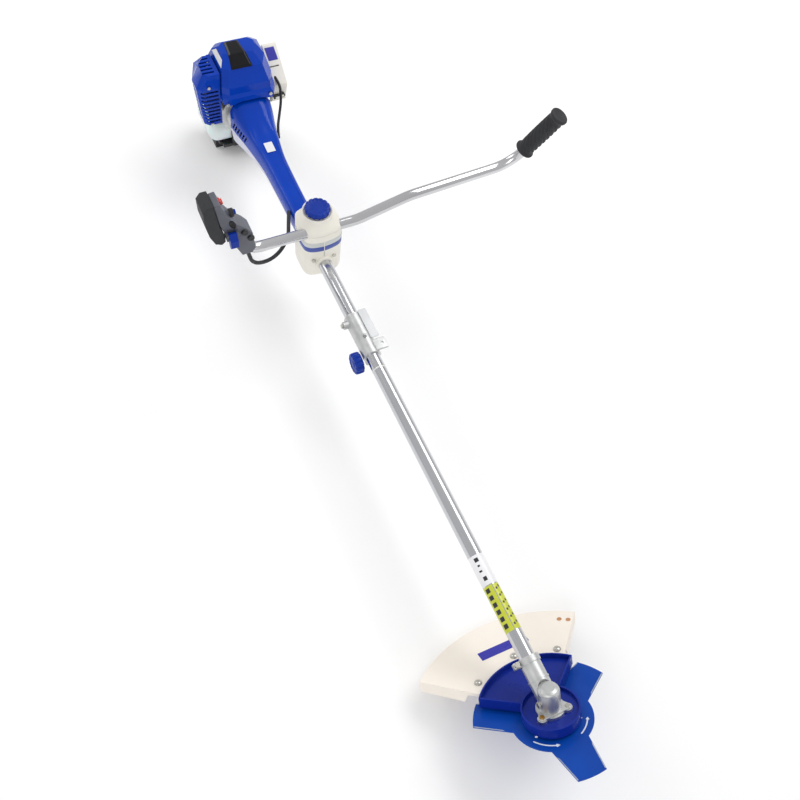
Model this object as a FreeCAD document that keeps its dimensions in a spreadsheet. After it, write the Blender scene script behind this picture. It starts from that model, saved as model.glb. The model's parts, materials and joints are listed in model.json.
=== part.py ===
import FreeCAD, Part
import math
import os
import re
from FreeCAD import Placement, Rotation, Vector

# Petrol brush cutter with a two-piece shaft, bullhorn handlebar and three-tooth blade.
# The row frame: +X runs along the shaft towards the cutting head, +Y is the operator's left and
# +Z is up.  The origin is on the ground under the middle of the engine's foot.  The shaft lies
# level, shaft_height above the ground, as the machine rests on its foot and its guard.

SIZES = {
    "shaft_height": 165, "head_x": 1510, "head_tilt": 35,
    "tube_od": 28, "tube_wall": 1.5, "rod_od": 8,
    "blade_od": 255, "blade_bore": 25.4, "blade_thick": 2, "blade_drop": 36,
    "blade_disc_od": 136, "arm_root": 66, "arm_tip": 49, "arms": 3,
    "guard_radius": 230, "guard_inner": 119, "guard_wall": 3, "guard_half_angle": 43,
    "bracket_radius": 118, "bowl_radius": 48,
    "shaft_od": 12, "barrel_od": 36, "gear_teeth": 19, "pinion_teeth": 13,
    "bar_od": 22, "bar_x": 970, "bar_rise": 80, "grip_od": 34, "grip_long": 108,
    "coupler_mid": 752, "coupler_long": 99, "coupler_od": 36,
    "engine_front": 1385, "cylinder_x": 1462, "drum_od": 78, "bore_od": 40,
    "tank_front": 1452, "tank_back": 1568, "tank_half_width": 80, "tank_top": 56, "tank_base": 112,
    "run_fit": 0.03,
}

doc = FreeCAD.newDocument("BrushCutter")
sheet = doc.addObject("Spreadsheet::Sheet", "Dims")
for row, (alias, value) in enumerate(SIZES.items(), start=1):
    sheet.set(f"A{row}", alias)
    sheet.set(f"B{row}", str(value))
    sheet.setAlias(f"B{row}", alias)
doc.recompute()

PIECES = []
SCREWS = []


def dim(alias):
    return float(sheet.get(alias))


def linked(text):
    """Turn cell names in a formula into references to the sheet."""
    return re.sub(r"[a-z_]+", lambda word: "Dims." + word.group() if word.group() in SIZES else word.group(), text)


def bind(obj, **sizes):
    """Set sizes on an object; a text is a formula of sheet cells and stays bound to them."""
    for name, size in sizes.items():
        if isinstance(size, str):
            obj.setExpression(name, linked(size))
        else:
            setattr(obj, name, size)
    return obj


def piece(label, obj, placement=None):
    """Register an object as one physical piece of the machine."""
    if placement is not None:
        obj.Placement = placement
    obj.Label = label
    PIECES.append(obj)
    return obj


def toward(direction):
    return Rotation(Vector(0, 0, 1), Vector(*direction))


def rod(radius, length, at=(0, 0, 0), direction=(0, 0, 1)):
    obj = bind(doc.addObject("Part::Cylinder", "Rod"), Radius=radius, Height=length)
    obj.Placement = Placement(Vector(*at), toward(direction))
    return obj


def block(low, high):
    """A box between two corners."""
    obj = doc.addObject("Part::Box", "Block")
    bind(obj, Length=high[0] - low[0], Width=high[1] - low[1], Height=high[2] - low[2])
    obj.Placement = Placement(Vector(*low), Rotation())
    return obj


def hexagon(across, height, at, direction=(0, 0, 1)):
    obj = bind(doc.addObject("Part::Prism", "Hexagon"), Circumradius=across / math.sqrt(3), Height=height)
    obj.Polygon = 6
    obj.Placement = Placement(Vector(*at), toward(direction))
    return obj


def fuse(*objs):
    obj = doc.addObject("Part::MultiFuse", "Union")
    obj.Shapes = list(objs)
    return obj


def cut(base, *tools):
    obj = doc.addObject("Part::Cut", "Cut")
    obj.Base = base
    obj.Tool = tools[0] if len(tools) == 1 else fuse(*tools)
    return obj


def group(*objs):
    """Several separate solids that share one node."""
    obj = doc.addObject("Part::Compound", "Group")
    obj.Links = list(objs)
    return obj


def solid(shape):
    obj = doc.addObject("Part::Feature", "Solid")
    obj.Shape = shape
    return obj


def rounded(shape, radius, keep=None):
    """Fillet the edges of a shape that keep(edge) picks, or all of them."""
    edges = [edge for edge in shape.Edges if keep is None or keep(edge)]
    return shape.makeFillet(radius, edges)


def upright(edge):
    """True for a straight edge that runs along Z."""
    ends = [vertex.Point for vertex in edge.Vertexes]
    return len(ends) == 2 and abs(ends[0].x - ends[1].x) < 0.01 and abs(ends[0].y - ends[1].y) < 0.01


def prism(points, direction):
    """Extrude a flat polygon along a direction."""
    corners = [Vector(*point) for point in points]
    return Part.Face(Part.makePolygon(corners + corners[:1])).extrude(Vector(*direction))


def box_shape(low, high):
    return Part.makeBox(high[0] - low[0], high[1] - low[1], high[2] - low[2], Vector(*low))


def back(distance, y=0.0, z=0.0):
    """A point given by its distance behind the head's centre, and from the shaft's axis."""
    return (dim("head_x") - distance, y, dim("shaft_height") + z)


# ---------------------------------------------------------------- frames
tilt = math.radians(dim("head_tilt"))
HEAD = Placement(Vector(*back(0)), Rotation(Vector(0, 1, 0), -dim("head_tilt")))
tube_r = dim("tube_od") / 2
tube_inner = tube_r - dim("tube_wall")
rod_r = dim("rod_od") / 2
BLADE_Z = -dim("blade_drop")
BLADE_TOP = BLADE_Z + dim("blade_thick") / 2
BLADE_BASE = BLADE_Z - dim("blade_thick") / 2


def in_head(x, y, z):
    """A point of the head's own frame, as row coordinates."""
    return tuple(HEAD.multVec(Vector(x, y, z)))


# ---------------------------------------------------------------- blade and its clamp
def origin_plane(body, role):
    return [plane for plane in body.Origin.OriginFeatures if plane.Role == role][0]


def sketch_on_base(body, name):
    sketch = body.newObject("Sketcher::SketchObject", name)
    sketch.AttachmentSupport = [(origin_plane(body, "XY_Plane"), "")]
    sketch.MapMode = "FlatFace"
    return sketch


def make_blade():
    """Flat steel disc with three tapered arms, a pilot bore and small balance holes."""
    body = doc.addObject("PartDesign::Body", "BladeBody")
    disc = sketch_on_base(body, "BladeDisc")
    disc.addGeometry(Part.Circle(Vector(0, 0, 0), Vector(0, 0, 1), dim("blade_disc_od") / 2), False)
    pad = body.newObject("PartDesign::Pad", "DiscPad")
    pad.Profile = disc
    bind(pad, Length="blade_thick")
    arm = sketch_on_base(body, "ArmOutline")
    tip_r = dim("blade_od") / 2
    half_tip = dim("arm_tip") / 2
    half_root = dim("arm_root") / 2
    tip_x = math.sqrt(tip_r ** 2 - half_tip ** 2)
    root_x = math.sqrt((dim("blade_disc_od") / 2) ** 2 - half_root ** 2) - 1
    corners = [Vector(root_x, -half_root, 0), Vector(tip_x, -half_tip, 0),
               Vector(tip_x, half_tip, 0), Vector(root_x, half_root, 0)]
    arm.addGeometry(Part.LineSegment(corners[0], corners[1]), False)
    arm.addGeometry(Part.Arc(corners[1], Vector(tip_r, 0, 0), corners[2]), False)
    arm.addGeometry(Part.LineSegment(corners[2], corners[3]), False)
    arm.addGeometry(Part.LineSegment(corners[3], corners[0]), False)
    arm_pad = body.newObject("PartDesign::Pad", "ArmPad")
    arm_pad.Profile = arm
    bind(arm_pad, Length="blade_thick")
    doc.recompute()
    pattern = body.newObject("PartDesign::PolarPattern", "Arms")
    pattern.Originals = [arm_pad]
    pattern.Axis = ([line for line in body.Origin.OriginFeatures if line.Role == "Z_Axis"][0], [""])
    bind(pattern, Angle=360, Occurrences="arms")
    body.Tip = pattern
    doc.recompute()
    bore = rod("blade_bore / 2", "blade_thick * 3", (0, 0, -dim("blade_thick")))
    holes = [rod(2.5, "blade_thick * 3", (46 * math.cos(a), 46 * math.sin(a), -dim("blade_thick")))
             for a in (math.radians(60), math.radians(180), math.radians(300))]
    place = HEAD.multiply(Placement(Vector(0, 0, BLADE_BASE), Rotation(Vector(0, 0, 1), -3.3)))
    piece("blade", cut(body, bore, *holes), place)


def revolved(profile):
    """Turn a closed (radius, z) outline about Z."""
    return Part.Face(Part.makePolygon([Vector(r, 0, z) for r, z in profile + profile[:1]])).revolve(
        Vector(0, 0, 0), Vector(0, 0, 1), 360)


def make_blade_clamp():
    """Upper holder with its pilot boss, lower cup, left-hand nut and the output shaft."""
    shaft_r = dim("shaft_od") / 2
    pilot_r = dim("blade_bore") / 2 - 0.05
    holder = [(shaft_r, -23), (15, -23), (15, -28), (25, -29), (25, BLADE_TOP),
              (pilot_r, BLADE_TOP), (pilot_r, BLADE_BASE + 0.3), (shaft_r, BLADE_BASE + 0.3)]
    piece("blade_adapter", solid(revolved(holder)), HEAD)
    cup = [(shaft_r, BLADE_BASE), (24, BLADE_BASE), (31, BLADE_BASE - 6), (31, BLADE_BASE - 13),
           (28.5, BLADE_BASE - 13), (28.5, BLADE_BASE - 7), (22, BLADE_BASE - 3), (shaft_r, BLADE_BASE - 3)]
    piece("blade_cup", solid(revolved(cup)), HEAD)
    nut_top = BLADE_BASE - 3
    nut = cut(hexagon(17, 9, (0, 0, nut_top - 9)), rod(shaft_r - 1, 20, (0, 0, nut_top - 15)))
    piece("blade_nut", nut, HEAD)


# ---------------------------------------------------------------- bevel gears
def bevel_gear(teeth, pitch_angle, near, far, first):
    """Straight bevel gear with its apex at the origin and its axis along +Z."""
    depth = 1.1
    angles = [pitch_angle - depth / far, pitch_angle + depth / far * 0.8]

    def at(distance, angle, turn):
        ring = distance * math.sin(angle)
        return Vector(ring * math.cos(turn), ring * math.sin(turn), distance * math.cos(angle))

    low, high = angles
    cone_near = near * math.cos(low)
    cone_far = far * math.cos(low)
    body = Part.makeCone(near * math.sin(low), far * math.sin(low), cone_far - cone_near, Vector(0, 0, cone_near))
    shapes = []
    pitch = 2 * math.pi / teeth
    for number in range(teeth):
        turn = first + number * pitch
        ends = []
        for distance in (near + 0.2, far - 0.2):
            ends.append(Part.makePolygon([
                at(distance, low - 0.02, turn - 0.22 * pitch), at(distance, high, turn - 0.12 * pitch),
                at(distance, high, turn + 0.12 * pitch), at(distance, low - 0.02, turn + 0.22 * pitch),
                at(distance, low - 0.02, turn - 0.22 * pitch)]))
        shapes.append(Part.makeLoft(ends, True, True))
    return body.multiFuse(shapes).removeSplitter()


def make_gears():
    """Bevel pair between the drive shaft and the tilted output shaft, in mesh at rest."""
    shaft_r = dim("shaft_od") / 2
    ratio = dim("gear_teeth") / dim("pinion_teeth")
    between = math.pi / 2 - tilt
    pinion_angle = math.atan(math.sin(between) / (ratio + math.cos(between)))
    gear_angle = between - pinion_angle
    near, far = 17, 24
    gear = bevel_gear(int(dim("gear_teeth")), gear_angle, near, far, math.pi)
    spindle = revolved([(0, -50), (shaft_r - 1, -50), (shaft_r - 1, BLADE_BASE - 3), (shaft_r, BLADE_BASE - 3),
                        (shaft_r, 20), (shaft_r - 1, 20), (shaft_r - 1, 28), (0, 28)])
    bored = gear.cut(Part.makeCylinder(shaft_r, 60, Vector(0, 0, -10)))
    piece("output_shaft", group(solid(spindle), solid(bored)), HEAD)
    pinion = bevel_gear(int(dim("pinion_teeth")), pinion_angle, near, far, math.pi / dim("pinion_teeth"))
    hub_start = far * math.cos(pinion_angle) - 0.6
    pinion = pinion.fuse(Part.makeCylinder(5, 38 - hub_start, Vector(0, 0, hub_start)))
    pinion = pinion.cut(Part.makeCylinder(rod_r, 20, Vector(0, 0, 27)))
    along_tube = Placement(Vector(*back(0)), Rotation(Vector(0, 1, 0), -90))
    piece("input_pinion", solid(pinion), along_tube)


def ring(outer, inner, width, at, direction):
    return cut(rod(outer, width, at, direction), rod(inner, width, at, direction))


def make_bearings():
    """Ball bearings, drawn as plain rings, in the head, the clutch housing and the crankcase."""
    shaft_r = dim("shaft_od") / 2
    up = tuple(HEAD.Rotation.multVec(Vector(0, 0, 1)))
    fit = dim("run_fit")
    rings = [
        ring(14, shaft_r + fit, 8, in_head(0, 0, -17), up),
        ring(10, shaft_r - 1 + fit, 5, in_head(0, 0, 22.8), up),
        ring(10, 5 + fit, 6, back(31), (1, 0, 0)),
        ring(10, 5 + fit, 6, back(37.5), (1, 0, 0)),
        ring(13, 6 + fit, 8, back(1446), (1, 0, 0)),
        ring(13, 6 + fit, 8, back(1488), (1, 0, 0)),
        ring(12, 6 + fit, 8, back(1394), (1, 0, 0)),
    ]
    piece("ball_bearings", group(*rings))


# ---------------------------------------------------------------- gear case
FLANGE_CORNERS = (60, 180, 300)


def make_gear_case():
    """Die-cast head: tilted barrel, tube socket with a clamp collar and a three-cornered foot."""
    barrel_r = dim("barrel_od") / 2
    barrel = rod("barrel_od / 2", 42, in_head(0, 0, -18), tuple(HEAD.Rotation.multVec(Vector(0, 0, 1))))
    sleeve = rod(17.5, 64, back(64), (1, 0, 0))
    step = rod(18.6, 2.5, back(38), (1, 0, 0))
    collar = rod(19.5, 11, back(75), (1, 0, 0))
    ear = solid(rounded(box_shape(back(75, -29, -6), back(64, -10, 6)), 2))
    corners = [Vector(27 * math.cos(math.radians(a)), 27 * math.sin(math.radians(a)), -18)
               for a in FLANGE_CORNERS]
    lobes = [Part.makeCylinder(8, 5, corner) for corner in corners]
    web = Part.Face(Part.makePolygon(corners + corners[:1])).extrude(Vector(0, 0, 5))
    wide = Part.makeCylinder(24, 5, Vector(0, 0, -18))
    foot = solid(web.multiFuse(lobes + [wide]).removeSplitter())
    foot.Placement = HEAD
    up = tuple(HEAD.Rotation.multVec(Vector(0, 0, 1)))
    holes = [
        rod(15.5, 34, in_head(0, 0, -9), up),
        rod(14, 12, in_head(0, 0, -19), up),
        rod(11, 20, back(25), (1, 0, 0)),
        rod(10, 14, back(38), (1, 0, 0)),
        rod("tube_od / 2", 40, back(78), (1, 0, 0)),
        rod(17.3, 12, in_head(0, 0, 24), up),
        solid(box_shape(back(76, -30, -0.8), back(60, -12, 0.8))),
        rod(2.6, 30, back(69.5, -24, -12), (0, 0, 1)),
    ]
    for angle in FLANGE_CORNERS:
        x, y = 27 * math.cos(math.radians(angle)), 27 * math.sin(math.radians(angle))
        holes.append(rod(2.55, 12, in_head(x, y, -20), up))
    piece("gear_case", cut(fuse(barrel, sleeve, step, collar, ear, foot), *holes))
    cap = [(0, 31), (11, 31), (15, 28.5), (17.2, 26.5), (17.2, 24), (15, 24), (15, 22.8),
           (10, 22.8), (10, 28), (0, 28)]
    piece("gear_case_cap", solid(revolved(cap)), HEAD)
    bolts = [fuse(rod(2.55, 20, back(69.5, -24, -11), (0, 0, 1)), rod(4.5, 4.5, back(69.5, -24, 6), (0, 0, 1)))]
    for angle in FLANGE_CORNERS:
        x, y = 27 * math.cos(math.radians(angle)), 27 * math.sin(math.radians(angle))
        bolts.append(fuse(rod(2.55, 14, in_head(x, y, -25.5), up), rod(4.4, 3, in_head(x, y, -13), up)))
    bolts.append(hexagon(9, 4, in_head(0, -18, 2), (0, -1, 0)))
    SCREWS.extend(bolts)


# ---------------------------------------------------------------- guard
def sector(radius, inner, low, high, half_angle):
    """Ring sector about the head's axis, open to the front, between two heights."""
    outer = Part.makeCylinder(radius, high - low, Vector(0, 0, low), Vector(0, 0, 1), 2 * half_angle)
    outer.rotate(Vector(0, 0, 0), Vector(0, 0, 1), 180 - half_angle)
    return outer.cut(Part.makeCylinder(inner, high - low + 2, Vector(0, 0, low - 1)))


GUARD_BOLT_ANGLES = (143, 176, 213)
GUARD_BOLT_RADIUS = 133
PLATE_Z = -20


def bolt_points(z):
    return [(GUARD_BOLT_RADIUS * math.cos(math.radians(a)), GUARD_BOLT_RADIUS * math.sin(math.radians(a)), z)
            for a in GUARD_BOLT_ANGLES]


def make_guard_bracket():
    """Dark moulding under the gear case: a bowl round the foot and a fan that carries the guard."""
    bowl_r, rim_r = dim("bowl_radius"), dim("bracket_radius")
    fan = sector(rim_r, bowl_r - 4, -24, PLATE_Z, 50)
    tongue = sector(141, rim_r - 2, -24, PLATE_Z, 41)
    lip = sector(rim_r, rim_r - 2.5, -24, -11, 50)
    floor = Part.makeCylinder(bowl_r, 4, Vector(0, 0, -22))
    wall = Part.makeCylinder(bowl_r, 19, Vector(0, 0, -31)).cut(
        Part.makeCylinder(bowl_r - 3, 21, Vector(0, 0, -32)))
    shape = fan.multiFuse([tongue, lip, floor, wall])
    for side in (1, -1):
        rib = box_shape((-rim_r, -1.5, -31), (-bowl_r + 1.5, 1.5, -11))
        rib.rotate(Vector(0, 0, 0), Vector(0, 0, 1), side * 49.4)
        shape = shape.fuse(rib)
    shape = shape.cut(Part.makeCylinder(17, 20, Vector(0, 0, -32)))
    for angle in FLANGE_CORNERS:
        spot = Vector(27 * math.cos(math.radians(angle)), 27 * math.sin(math.radians(angle)), -24)
        shape = shape.cut(Part.makeCylinder(2.55, 10, spot))
    for point in bolt_points(-26):
        shape = shape.cut(Part.makeCylinder(2.55, 8, Vector(*point)))
    clear_tube = Part.makeCylinder(22, 200, Vector(0, 0, 0), Vector(-math.cos(tilt), 0, math.sin(tilt)))
    shape = shape.cut(clear_tube)
    piece("guard_bracket", solid(shape.removeSplitter()), HEAD)


def make_guard():
    """Pale fan-shaped guard with a hanging rim and stepped side walls."""
    radius, inner, wall = dim("guard_radius"), dim("guard_inner"), dim("guard_wall")
    half = dim("guard_half_angle")
    rest_z = (-dim("shaft_height") + radius * math.sin(tilt)) / math.cos(tilt)
    top = PLATE_Z + wall
    shape = sector(radius, inner, PLATE_Z, top, half)
    shape = shape.fuse(sector(radius, radius - wall, rest_z, top, half))
    near, far = 128, radius - 1
    for side in (1, -1):
        flank = prism([(-near, 0, PLATE_Z - 4), (-near - 14, 0, PLATE_Z - 5), (-near - 22, 0, PLATE_Z - 22),
                       (-far, 0, rest_z + 1), (-far, 0, top - 0.5), (-inner - 1, 0, top - 0.5),
                       (-inner - 1, 0, PLATE_Z - 4)],
                      (0, wall * side, 0))
        flank.rotate(Vector(0, 0, 0), Vector(0, 0, 1), side * half)
        shape = shape.fuse(flank)
    for turn in (143.6, 139.2):
        spot = Vector(208 * math.cos(math.radians(turn)), 208 * math.sin(math.radians(turn)), PLATE_Z - 9)
        shape = shape.fuse(Part.makeCylinder(6.5, 10, spot))
        shape = shape.cut(Part.makeCylinder(4.5, 12, spot + Vector(0, 0, 3)))
    for point in bolt_points(-26):
        shape = shape.cut(Part.makeCylinder(2.55, 12, Vector(*point)))
    piece("guard_skirt", solid(shape.removeSplitter()), HEAD)
    bolts = []
    for x, y, z in bolt_points(top):
        head = revolved([(0, 0), (7, 0), (7, 1.2), (5, 3.2), (3, 4.2), (0, 4.4)])
        shank = Part.makeCylinder(2.55, 11, Vector(0, 0, -11))
        nut = solid(head.fuse(shank).fuse(Part.makeCylinder(4.6, 3, Vector(0, 0, -10))))
        nut.Placement = Placement(Vector(x, y, z), Rotation())
        bolts.append(nut)
    piece("guard_bolts", group(*bolts), HEAD)


# ---------------------------------------------------------------- shaft
def make_shaft():
    """Two tubes, the drive rods inside them and the bushes that carry the rods."""
    middle = dim("coupler_mid")
    rear = dim("engine_front") - 8
    lower = ring("tube_od / 2", "tube_od / 2 - tube_wall", middle - 38 - 0.2, back(middle - 0.2), (1, 0, 0))
    piece("lower_tube", cut(lower, rod(4.5, 10, back(742, 0, 8), (0, 0, 1))))
    upper = ring("tube_od / 2", "tube_od / 2 - tube_wall", rear - middle, back(rear), (1, 0, 0))
    piece("upper_tube", upper)
    socket = cut(rod(7, 36, back(middle + 20), (1, 0, 0)), rod("rod_od / 2", 20, back(middle + 20), (1, 0, 0)))
    lower_rod = rod("rod_od / 2", middle - 28, back(middle), (1, 0, 0))
    piece("lower_drive_shaft", fuse(lower_rod, socket))
    piece("upper_drive_shaft", rod("rod_od / 2", 1398 - middle, back(1398), (1, 0, 0)))
    spots = (150, 300, 450, 600, 860, 1010, 1160, 1310)
    bushes = [ring(tube_inner, "rod_od / 2 + run_fit", 18, back(spot), (1, 0, 0)) for spot in spots]
    piece("shaft_bushes", group(*bushes))


def knob_shape(radius, height, lobes, scoop):
    """Round knob with scooped flutes, a chamfered top and a blind hole for its stud."""
    shape = revolved([(0, 0), (radius * 0.72, 0), (radius, height * 0.22), (radius, height * 0.8),
                      (radius - 2, height), (0, height)])
    for number in range(lobes):
        turn = 2 * math.pi * number / lobes
        spot = Vector((radius + scoop * 0.45) * math.cos(turn), (radius + scoop * 0.45) * math.sin(turn), -1)
        shape = shape.cut(Part.makeCylinder(scoop, height + 2, spot))
    return shape.cut(Part.makeCylinder(3, height * 0.6, Vector(0, 0, -0.1)))


KNOB_D, KNOB_Z = 710, -18


def make_coupler():
    """Split die-cast sleeve that joins the tubes, with its screw knob, release pin and strap."""
    middle, long = dim("coupler_mid"), dim("coupler_long")
    rear = middle + long / 2
    outer_r = dim("coupler_od") / 2
    sleeve = rod("coupler_od / 2", "coupler_long", back(rear), (1, 0, 0))
    lug = solid(rounded(box_shape(back(rear - 4, -10, -30), back(rear - long + 0.5, 10, 0)), 3))
    boss = rod(8, 20, back(rear - 14, -26, 2), (0, 1, 0))
    tab = solid(rounded(box_shape(back(730, 8, 12), back(704, 34, 17)), 2))
    hanger = rod(3.2, 8, back(717, 25, 10), (0, 0, 1))
    tools = [
        rod("tube_od / 2", "coupler_long + 2", back(rear + 1), (1, 0, 0)),
        solid(box_shape(back(rear + 1, -1, -32), back(rear - long - 1, 1, -12))),
        rod(3.05, 40, back(KNOB_D, -20, KNOB_Z), (0, 1, 0)),
        rod(2.6, 30, back(rear - 14, -30, 2), (0, 1, 0)),
        rod("4 + run_fit", 12, back(742, 0, 12), (0, 0, 1)),
        hanger,
    ]
    piece("coupler_body", cut(fuse(sleeve, lug, boss, tab), *tools))
    knob = solid(knob_shape(22, 19, 10, 4.5))
    knob.Placement = Placement(Vector(*back(KNOB_D, -19, KNOB_Z)), Rotation(Vector(1, 0, 0), 90))
    stud = rod(3, 38, back(KNOB_D, -28, KNOB_Z), (0, 1, 0))
    piece("coupler_knob", fuse(knob, stud))
    pin = fuse(rod(4, 9.5, back(742, 0, 11.5), (0, 0, 1)), rod(2.5, 4, back(742, 0, 20), (0, 0, 1)))
    piece("coupler_pin", pin)
    strap = rounded(box_shape(back(804, 10, 15), back(734, 27, 17)), 3, upright)
    piece("coupler_flap", solid(strap))


for build in (make_blade, make_blade_clamp, make_gears, make_bearings, make_gear_case,
              make_guard_bracket, make_guard, make_shaft, make_coupler):
    build()


# ---------------------------------------------------------------- paths
def rounded_path(points, radii):
    """Straight runs joined by tangent arcs; one radius for each inner point."""
    spots = [Vector(*point) for point in points]
    edges = []
    start = spots[0]
    for before, corner, after, radius in zip(spots, spots[1:], spots[2:], radii):
        come = (corner - before).normalize()
        leave = (after - corner).normalize()
        turn = come.getAngle(leave)
        setback = radius * math.tan(turn / 2)
        first, last = corner - come * setback, corner + leave * setback
        bulge = (leave - come).normalize()
        middle = corner + bulge * (radius / math.cos(turn / 2) - radius)
        edges.append(Part.LineSegment(start, first).toShape())
        edges.append(Part.Arc(first, middle, last).toShape())
        start = last
    edges.append(Part.LineSegment(start, spots[-1]).toShape())
    return Part.Wire(edges)


def swept(path, radius):
    """A round bar along a path."""
    start = path.Edges[0]
    direction = start.tangentAt(start.FirstParameter)
    profile = Part.Wire(Part.makeCircle(radius, start.valueAt(start.FirstParameter), direction))
    return path.makePipeShell([profile], True, True)


def loft(sections, smooth=False):
    return Part.makeLoft(sections, True, not smooth)


# ---------------------------------------------------------------- handlebar and its clamp
BAR_X, BAR_Z = dim("bar_x"), dim("bar_rise")
GRIP_BASE = Vector(*back(BAR_X, 449, 153))
GRIP_AXIS = Vector(25, 40, 95).normalize()
CLAMP_OUTLINE = [(950, 0), (956, -34), (966, -45), (1018, -45), (1030, -36),
                 (1030, 36), (1018, 45), (966, 45), (956, 34)]


def make_clamp():
    """Pale two-part moulding that holds the bar across the shaft, and its big screw knob."""
    base = solid(prism([back(d, y, -38) for d, y in CLAMP_OUTLINE], (0, 0, 38 + BAR_Z)))
    shaft_hole = rod("tube_od / 2", 90, back(1035), (1, 0, 0))
    bar_hole = rod("bar_od / 2 + run_fit", 120, back(BAR_X, -60, BAR_Z), (0, 1, 0))
    screw_holes = [rod(2.1, 12, back(961, side * 22, 12), (1, 0, 0)) for side in (-1, 1)]
    knob_d = BAR_X + 22
    stud_hole = rod("4 + run_fit", 60, back(knob_d, 0, BAR_Z - 30), (0, 0, 1))
    seam = solid(box_shape(back(955, -0.6, -39), back(949, 0.6, 48)))
    piece("clamp_base", cut(base, shaft_hole, bar_hole, *screw_holes, stud_hole, seam))
    low = Part.makePolygon([Vector(*back(d, y, BAR_Z)) for d, y in CLAMP_OUTLINE + CLAMP_OUTLINE[:1]])
    inner = [(knob_d + (d - knob_d) * 0.72, y * 0.72) for d, y in CLAMP_OUTLINE]
    high = Part.makePolygon([Vector(*back(d, y, BAR_Z + 26)) for d, y in inner + inner[:1]])
    collar = rod(30, 22, back(knob_d, 0, BAR_Z + 10), (0, 0, 1))
    recess = rod(27.5, 4, back(knob_d, 0, BAR_Z + 29), (0, 0, 1))
    cover = cut(fuse(solid(loft([low, high])), collar),
                rod("bar_od / 2 + run_fit", 120, back(BAR_X, -60, BAR_Z), (0, 1, 0)),
                rod("4 + run_fit", 60, back(knob_d, 0, BAR_Z - 30), (0, 0, 1)), recess)
    piece("clamp_cover", cover)
    knob = solid(knob_shape(26, 17, 12, 4))
    knob.Placement = Placement(Vector(*back(knob_d, 0, BAR_Z + 29.4)), Rotation())
    stud = rod(4, 66, back(knob_d, 0, BAR_Z - 20), (0, 0, 1))
    piece("clamp_knob", fuse(knob, stud))


def make_handlebar():
    """Bent steel bar: a short right arm under the throttle handle and a long left arm."""
    points = [back(BAR_X, -190, 183), back(BAR_X, -152, BAR_Z), back(BAR_X, 77, BAR_Z),
              back(BAR_X, 190, 108), tuple(GRIP_BASE - GRIP_AXIS * 50),
              tuple(GRIP_BASE + GRIP_AXIS * (dim("grip_long") - 6))]
    path = rounded_path(points, [40, 110, 110, 62])
    wall = 1.6
    outer = swept(path, dim("bar_od") / 2)
    tube = outer.cut(swept(path, dim("bar_od") / 2 - wall))
    piece("handlebar", solid(tube))
    long, radius, hole = dim("grip_long"), dim("grip_od") / 2, dim("bar_od") / 2
    grip = [(hole, -2), (radius + 4, -2), (radius + 4, 3), (radius, 8), (radius, long - 8),
            (radius + 2.5, long - 3), (radius + 2.5, long + 2), (radius - 3, long + 5), (0, long + 5),
            (0, long - 6), (hole, long - 6)]
    piece("left_grip", solid(revolved(grip)), Placement(GRIP_BASE, toward(GRIP_AXIS)))


# ---------------------------------------------------------------- throttle handle
FACE_FRONT, FACE_BACK = BAR_X - 23, BAR_X + 14
HOUSING = [(-215, 242), (-203, 244), (-192, 210), (-174, 182), (-158, 166), (-147, 150), (-143, 108),
           (-150, 97), (-170, 96), (-180, 120), (-192, 146), (-208, 192)]
RUBBER = [(-208, 144), (-200.5, 150), (-200.5, 164), (-208.6, 192), (-215.4, 242.5), (-215, 246),
          (-228, 246), (-236, 235), (-235, 205), (-229, 172), (-220, 150)]
TRIGGER_PIVOT = (FACE_FRONT - 3, 164)
TRIGGER_TIP = 138
SWITCH_SPOT = (-201.5, 229)
BUTTON_D, BUTTON_Z = BAR_X - 4, 199
SCREW_SPOTS = [(-163, 160), (-152, 141)]


def slab(outline, near, far):
    """A plate across the shaft: a (y, z) outline between two distances behind the head."""
    return prism([back(far, y, z) for y, z in outline], (far - near, 0, 0))


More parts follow.
